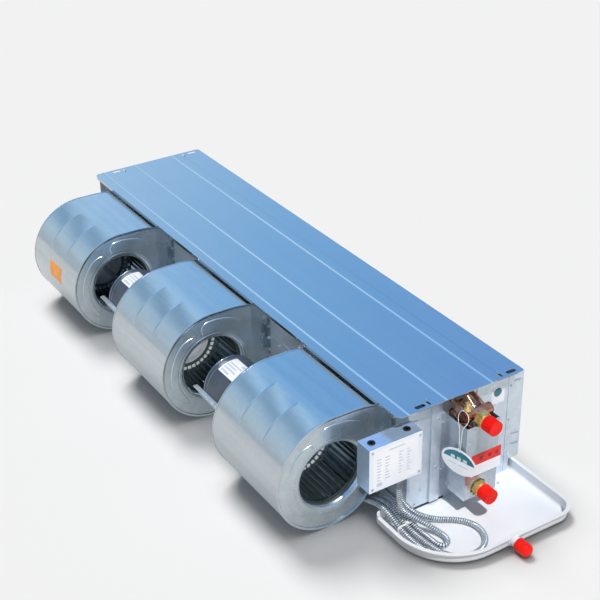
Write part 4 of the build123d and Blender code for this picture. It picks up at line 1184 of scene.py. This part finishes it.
union_heights = {"header_supply": 58.0, "header_return": 212.0}
header_x = casing_end + 45.0
first_tube_z = 34.0 + 0.47 * 25.4
make_braze_collars()
make_bend_collars()


# Coil: a pack of thin fins in place of the solid block

def make_fins():
    """Zigzag fins from end to end of the coil, 560 of them."""
    low, high = casing_box("coil_fins")
    count = 560
    mesh = bmesh.new()
    for i in range(count):
        x = low[0] + 0.2 + (high[0] - low[0] - 0.4) * i / (count - 1)
        rows = []
        for k in range(13):
            y = low[1] + (high[1] - low[1]) * k / 12.0
            bow = 0.0 if k in (0, 12) else 0.35 if k % 2 else -0.35
            rows.append([Vector((x + bow, y, low[2])), Vector((x + bow, y, high[2]))])
        strip(mesh, rows)
    for vertex in mesh.verts:
        vertex.co = on_casing(*vertex.co)
    data = mesh_data(mesh, "coil_fin_pack", smooth=False)
    pack = finish_piece("coil_fin_pack", data, fin_aluminium)
    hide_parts("coil_fins")
    return pack


fin_pack = make_fins()


# Sticker on the first blower's wrap

def make_sticker():
    """An orange film that follows the wrap."""
    x0, x1 = 183.0, 247.0
    mesh = bmesh.new()
    rows = []
    for i in range(9):
        angle = 162.0 + 18.0 * i / 8.0
        y, z = scroll_spot(angle)
        out = Vector((0.0, y - shaft_y, z - shaft_z)).normalized()
        rows.append([Vector((x, y, z)) + out * (lift - rim_height) for x, lift in
                     ((x0, 0.0), (x0, 0.25), (x1, 0.25), (x1, 0.0))])
    capped_strip(mesh, rows)
    close_mesh(mesh, "blower_sticker", orange_film)


make_sticker()


# Floor, room and lamps

def set_stage():
    """A wide white floor. Its own glow darkens to a painted shadow where a piece stands close over it,
    and metal sees a duller floor, with painted shade near the pieces."""
    mesh = bmesh.new()
    corners = [mesh.verts.new((x, y, 0.0)) for x, y in ((-12, -12), (12, -12), (12, 12), (-12, 12))]
    mesh.faces.new(corners)
    data = mesh_data(mesh, "floor", smooth=False)
    floor = bpy.data.objects.new("floor", data)
    bpy.context.scene.collection.objects.link(floor)
    material, tree, shader = new_finish("matt_white_floor", "#EEEEEE", roughness=0.9)
    shader.inputs["Specular IOR Level"].default_value = 0.0
    near = add(tree, "ShaderNodeAmbientOcclusion", {"samples": 8}, {"Distance": 0.085})
    clear = add(tree, "ShaderNodeMapRange", inputs={
        "Value": near.outputs["AO"], "From Min": 0.38, "From Max": 0.82})
    # Painted shadow: the glow runs from #F1F1F1 down to near black #202426 where pieces stand close.
    own = add(tree, "ShaderNodeEmission", inputs={
        "Color": between(tree, clear.outputs["Result"], "#202426", "#F1F1F1"), "Strength": 1.0})
    lit = add(tree, "ShaderNodeMixShader", inputs={
        0: 0.38, 1: shader.outputs["BSDF"], 2: own.outputs["Emission"]})
    about = add(tree, "ShaderNodeAmbientOcclusion", {"samples": 4}, {"Distance": 0.24})
    open_floor = add(tree, "ShaderNodeMapRange", inputs={
        "Value": about.outputs["AO"], "From Min": 0.30, "From Max": 0.95})
    # Painted shade: what metal sees of the floor darkens to #8F999E near the pieces.
    mirrored_floor_painted_shade = add(tree, "ShaderNodeEmission", inputs={
        "Color": between(tree, open_floor.outputs["Result"], "#8F999E", "#E9EBEC"), "Strength": 1.0})
    ray = add(tree, "ShaderNodeLightPath")
    seen = add(tree, "ShaderNodeMixShader", inputs={
        0: ray.outputs["Is Glossy Ray"], 1: lit.outputs["Shader"], 2: mirrored_floor_painted_shade.outputs["Emission"]})
    tree.links.new(seen.outputs["Shader"], tree.nodes["Material Output"].inputs["Surface"])
    data.materials.append(material)
    return floor


def room_colour(tree):
    """What metal sees of the room: a pale strip of light high over the unit's length, blue
    beyond it, grey on the near side, and a dull grey wall low down."""
    way = add(tree, "ShaderNodeTexCoord")
    across = add(tree, "ShaderNodeVectorMath", {"operation": "DOT_PRODUCT"},
                 {0: way.outputs["Generated"], 1: (0.537, 0.669, 0.514)})
    place = add(tree, "ShaderNodeMapRange", inputs={
        "Value": across.outputs["Value"], "From Min": -1.0, "From Max": 1.0})
    ramp = add(tree, "ShaderNodeValToRGB", inputs={"Fac": place.outputs["Result"]})
    stops = ((-1.0, "#B4BBC4"), (-0.79, "#BFCBD6"), (-0.58, "#B9CEDC"), (-0.45, "#AAC6DE"),
             (-0.33, "#90AFC9"), (-0.22, "#86A7C4"), (-0.12, "#9FC1DE"), (-0.02, "#B9DCF9"),
             (0.06, "#9BC5ED"), (0.15, "#82B8E8"), (0.30, "#78A8E0"), (1.0, "#8DA9CC"))
    band = ramp.color_ramp
    for element, stop in zip(band.elements, (stops[0], stops[-1])):
        element.position = (stop[0] + 1.0) / 2.0
        element.color = colour(stop[1])
    for position, code in stops[1:-1]:
        band.elements.new((position + 1.0) / 2.0).color = colour(code)
    split = add(tree, "ShaderNodeSeparateXYZ", inputs={"Vector": way.outputs["Generated"]})
    low = add(tree, "ShaderNodeMapRange", inputs={
        "Value": split.outputs["Z"], "From Min": 0.02, "From Max": 0.2})
    mix = add(tree, "ShaderNodeMix", {"data_type": "RGBA"},
              {"Factor": low.outputs["Result"], "A": colour("#AEB9C3"), "B": ramp.outputs["Color"]})
    return mix.outputs["Result"]


def set_room():
    """Metal sees the drawn room, the camera sees plain white, and the rest gets soft light."""
    world = bpy.data.worlds.new("studio")
    bpy.context.scene.world = world
    world.use_nodes = True
    tree = world.node_tree
    tree.nodes.clear()
    room = add(tree, "ShaderNodeBackground", inputs={"Color": room_colour(tree), "Strength": 1.25})
    soft = add(tree, "ShaderNodeBackground", inputs={"Color": colour("#F4F6F8"), "Strength": 0.14})
    plain = add(tree, "ShaderNodeBackground", inputs={"Color": colour("#F0F0F0"), "Strength": 1.0})
    ray = add(tree, "ShaderNodeLightPath")
    seen = add(tree, "ShaderNodeMixShader", inputs={
        0: ray.outputs["Is Glossy Ray"], 1: soft.outputs["Background"], 2: room.outputs["Background"]})
    view = add(tree, "ShaderNodeMixShader", inputs={
        0: ray.outputs["Is Camera Ray"], 1: seen.outputs["Shader"], 2: plain.outputs["Background"]})
    add(tree, "ShaderNodeOutputWorld", inputs={"Surface": view.outputs["Shader"]})


def add_sun(name, towards, energy, spread_angle, lit, unlit=()):
    """A far lamp; lit and unlit are what it does and doesn't reach, where that is limited."""
    light = bpy.data.lights.new(name, "SUN")
    light.energy = energy
    light.angle = math.radians(spread_angle)
    lamp = bpy.data.objects.new(name, light)
    lamp.rotation_euler = Vector(towards).to_track_quat("Z", "Y").to_euler()
    bpy.context.scene.collection.objects.link(lamp)
    reach = bpy.data.collections.new(name + "_reach")
    for piece in (*lit, *unlit):
        reach.objects.link(piece)
    for item in reach.collection_objects:
        item.light_linking.link_state = "EXCLUDE" if unlit else "INCLUDE"
    lamp.light_linking.receiver_collection = reach
    return lamp


floor = set_stage()
set_room()
# The key lamp gives the pan and panel their crisp shadows. The floor has a broad lamp of its
# own, so that only a soft shadow lies in front of the unit. A weak lamp from the near side
# lifts labels and paint, another reaches into the wheels through their inlets, and the last
# one reaches the coil through the outlet.
add_sun("key", (0.55, -0.05, 1.0), 2.75, 3.0, (), (floor,))
add_sun("floor_light", (-0.62, 0.0, 1.0), 3.38, 26.0, (floor,))
add_sun("fill", (0.40, -0.85, 0.45), 1.0, 30.0, (), (floor, nodes["drain_pan"])).visible_glossy = False
add_sun("eye_light", (0.80, -0.30, 0.52), 2.6, 10.0, wheel_pieces).visible_glossy = False
add_sun("coil_light", (-0.15, 1.0, 0.10), 5.0, 30.0, (fin_pack,))

bpy.context.scene.view_settings.view_transform = "Standard"
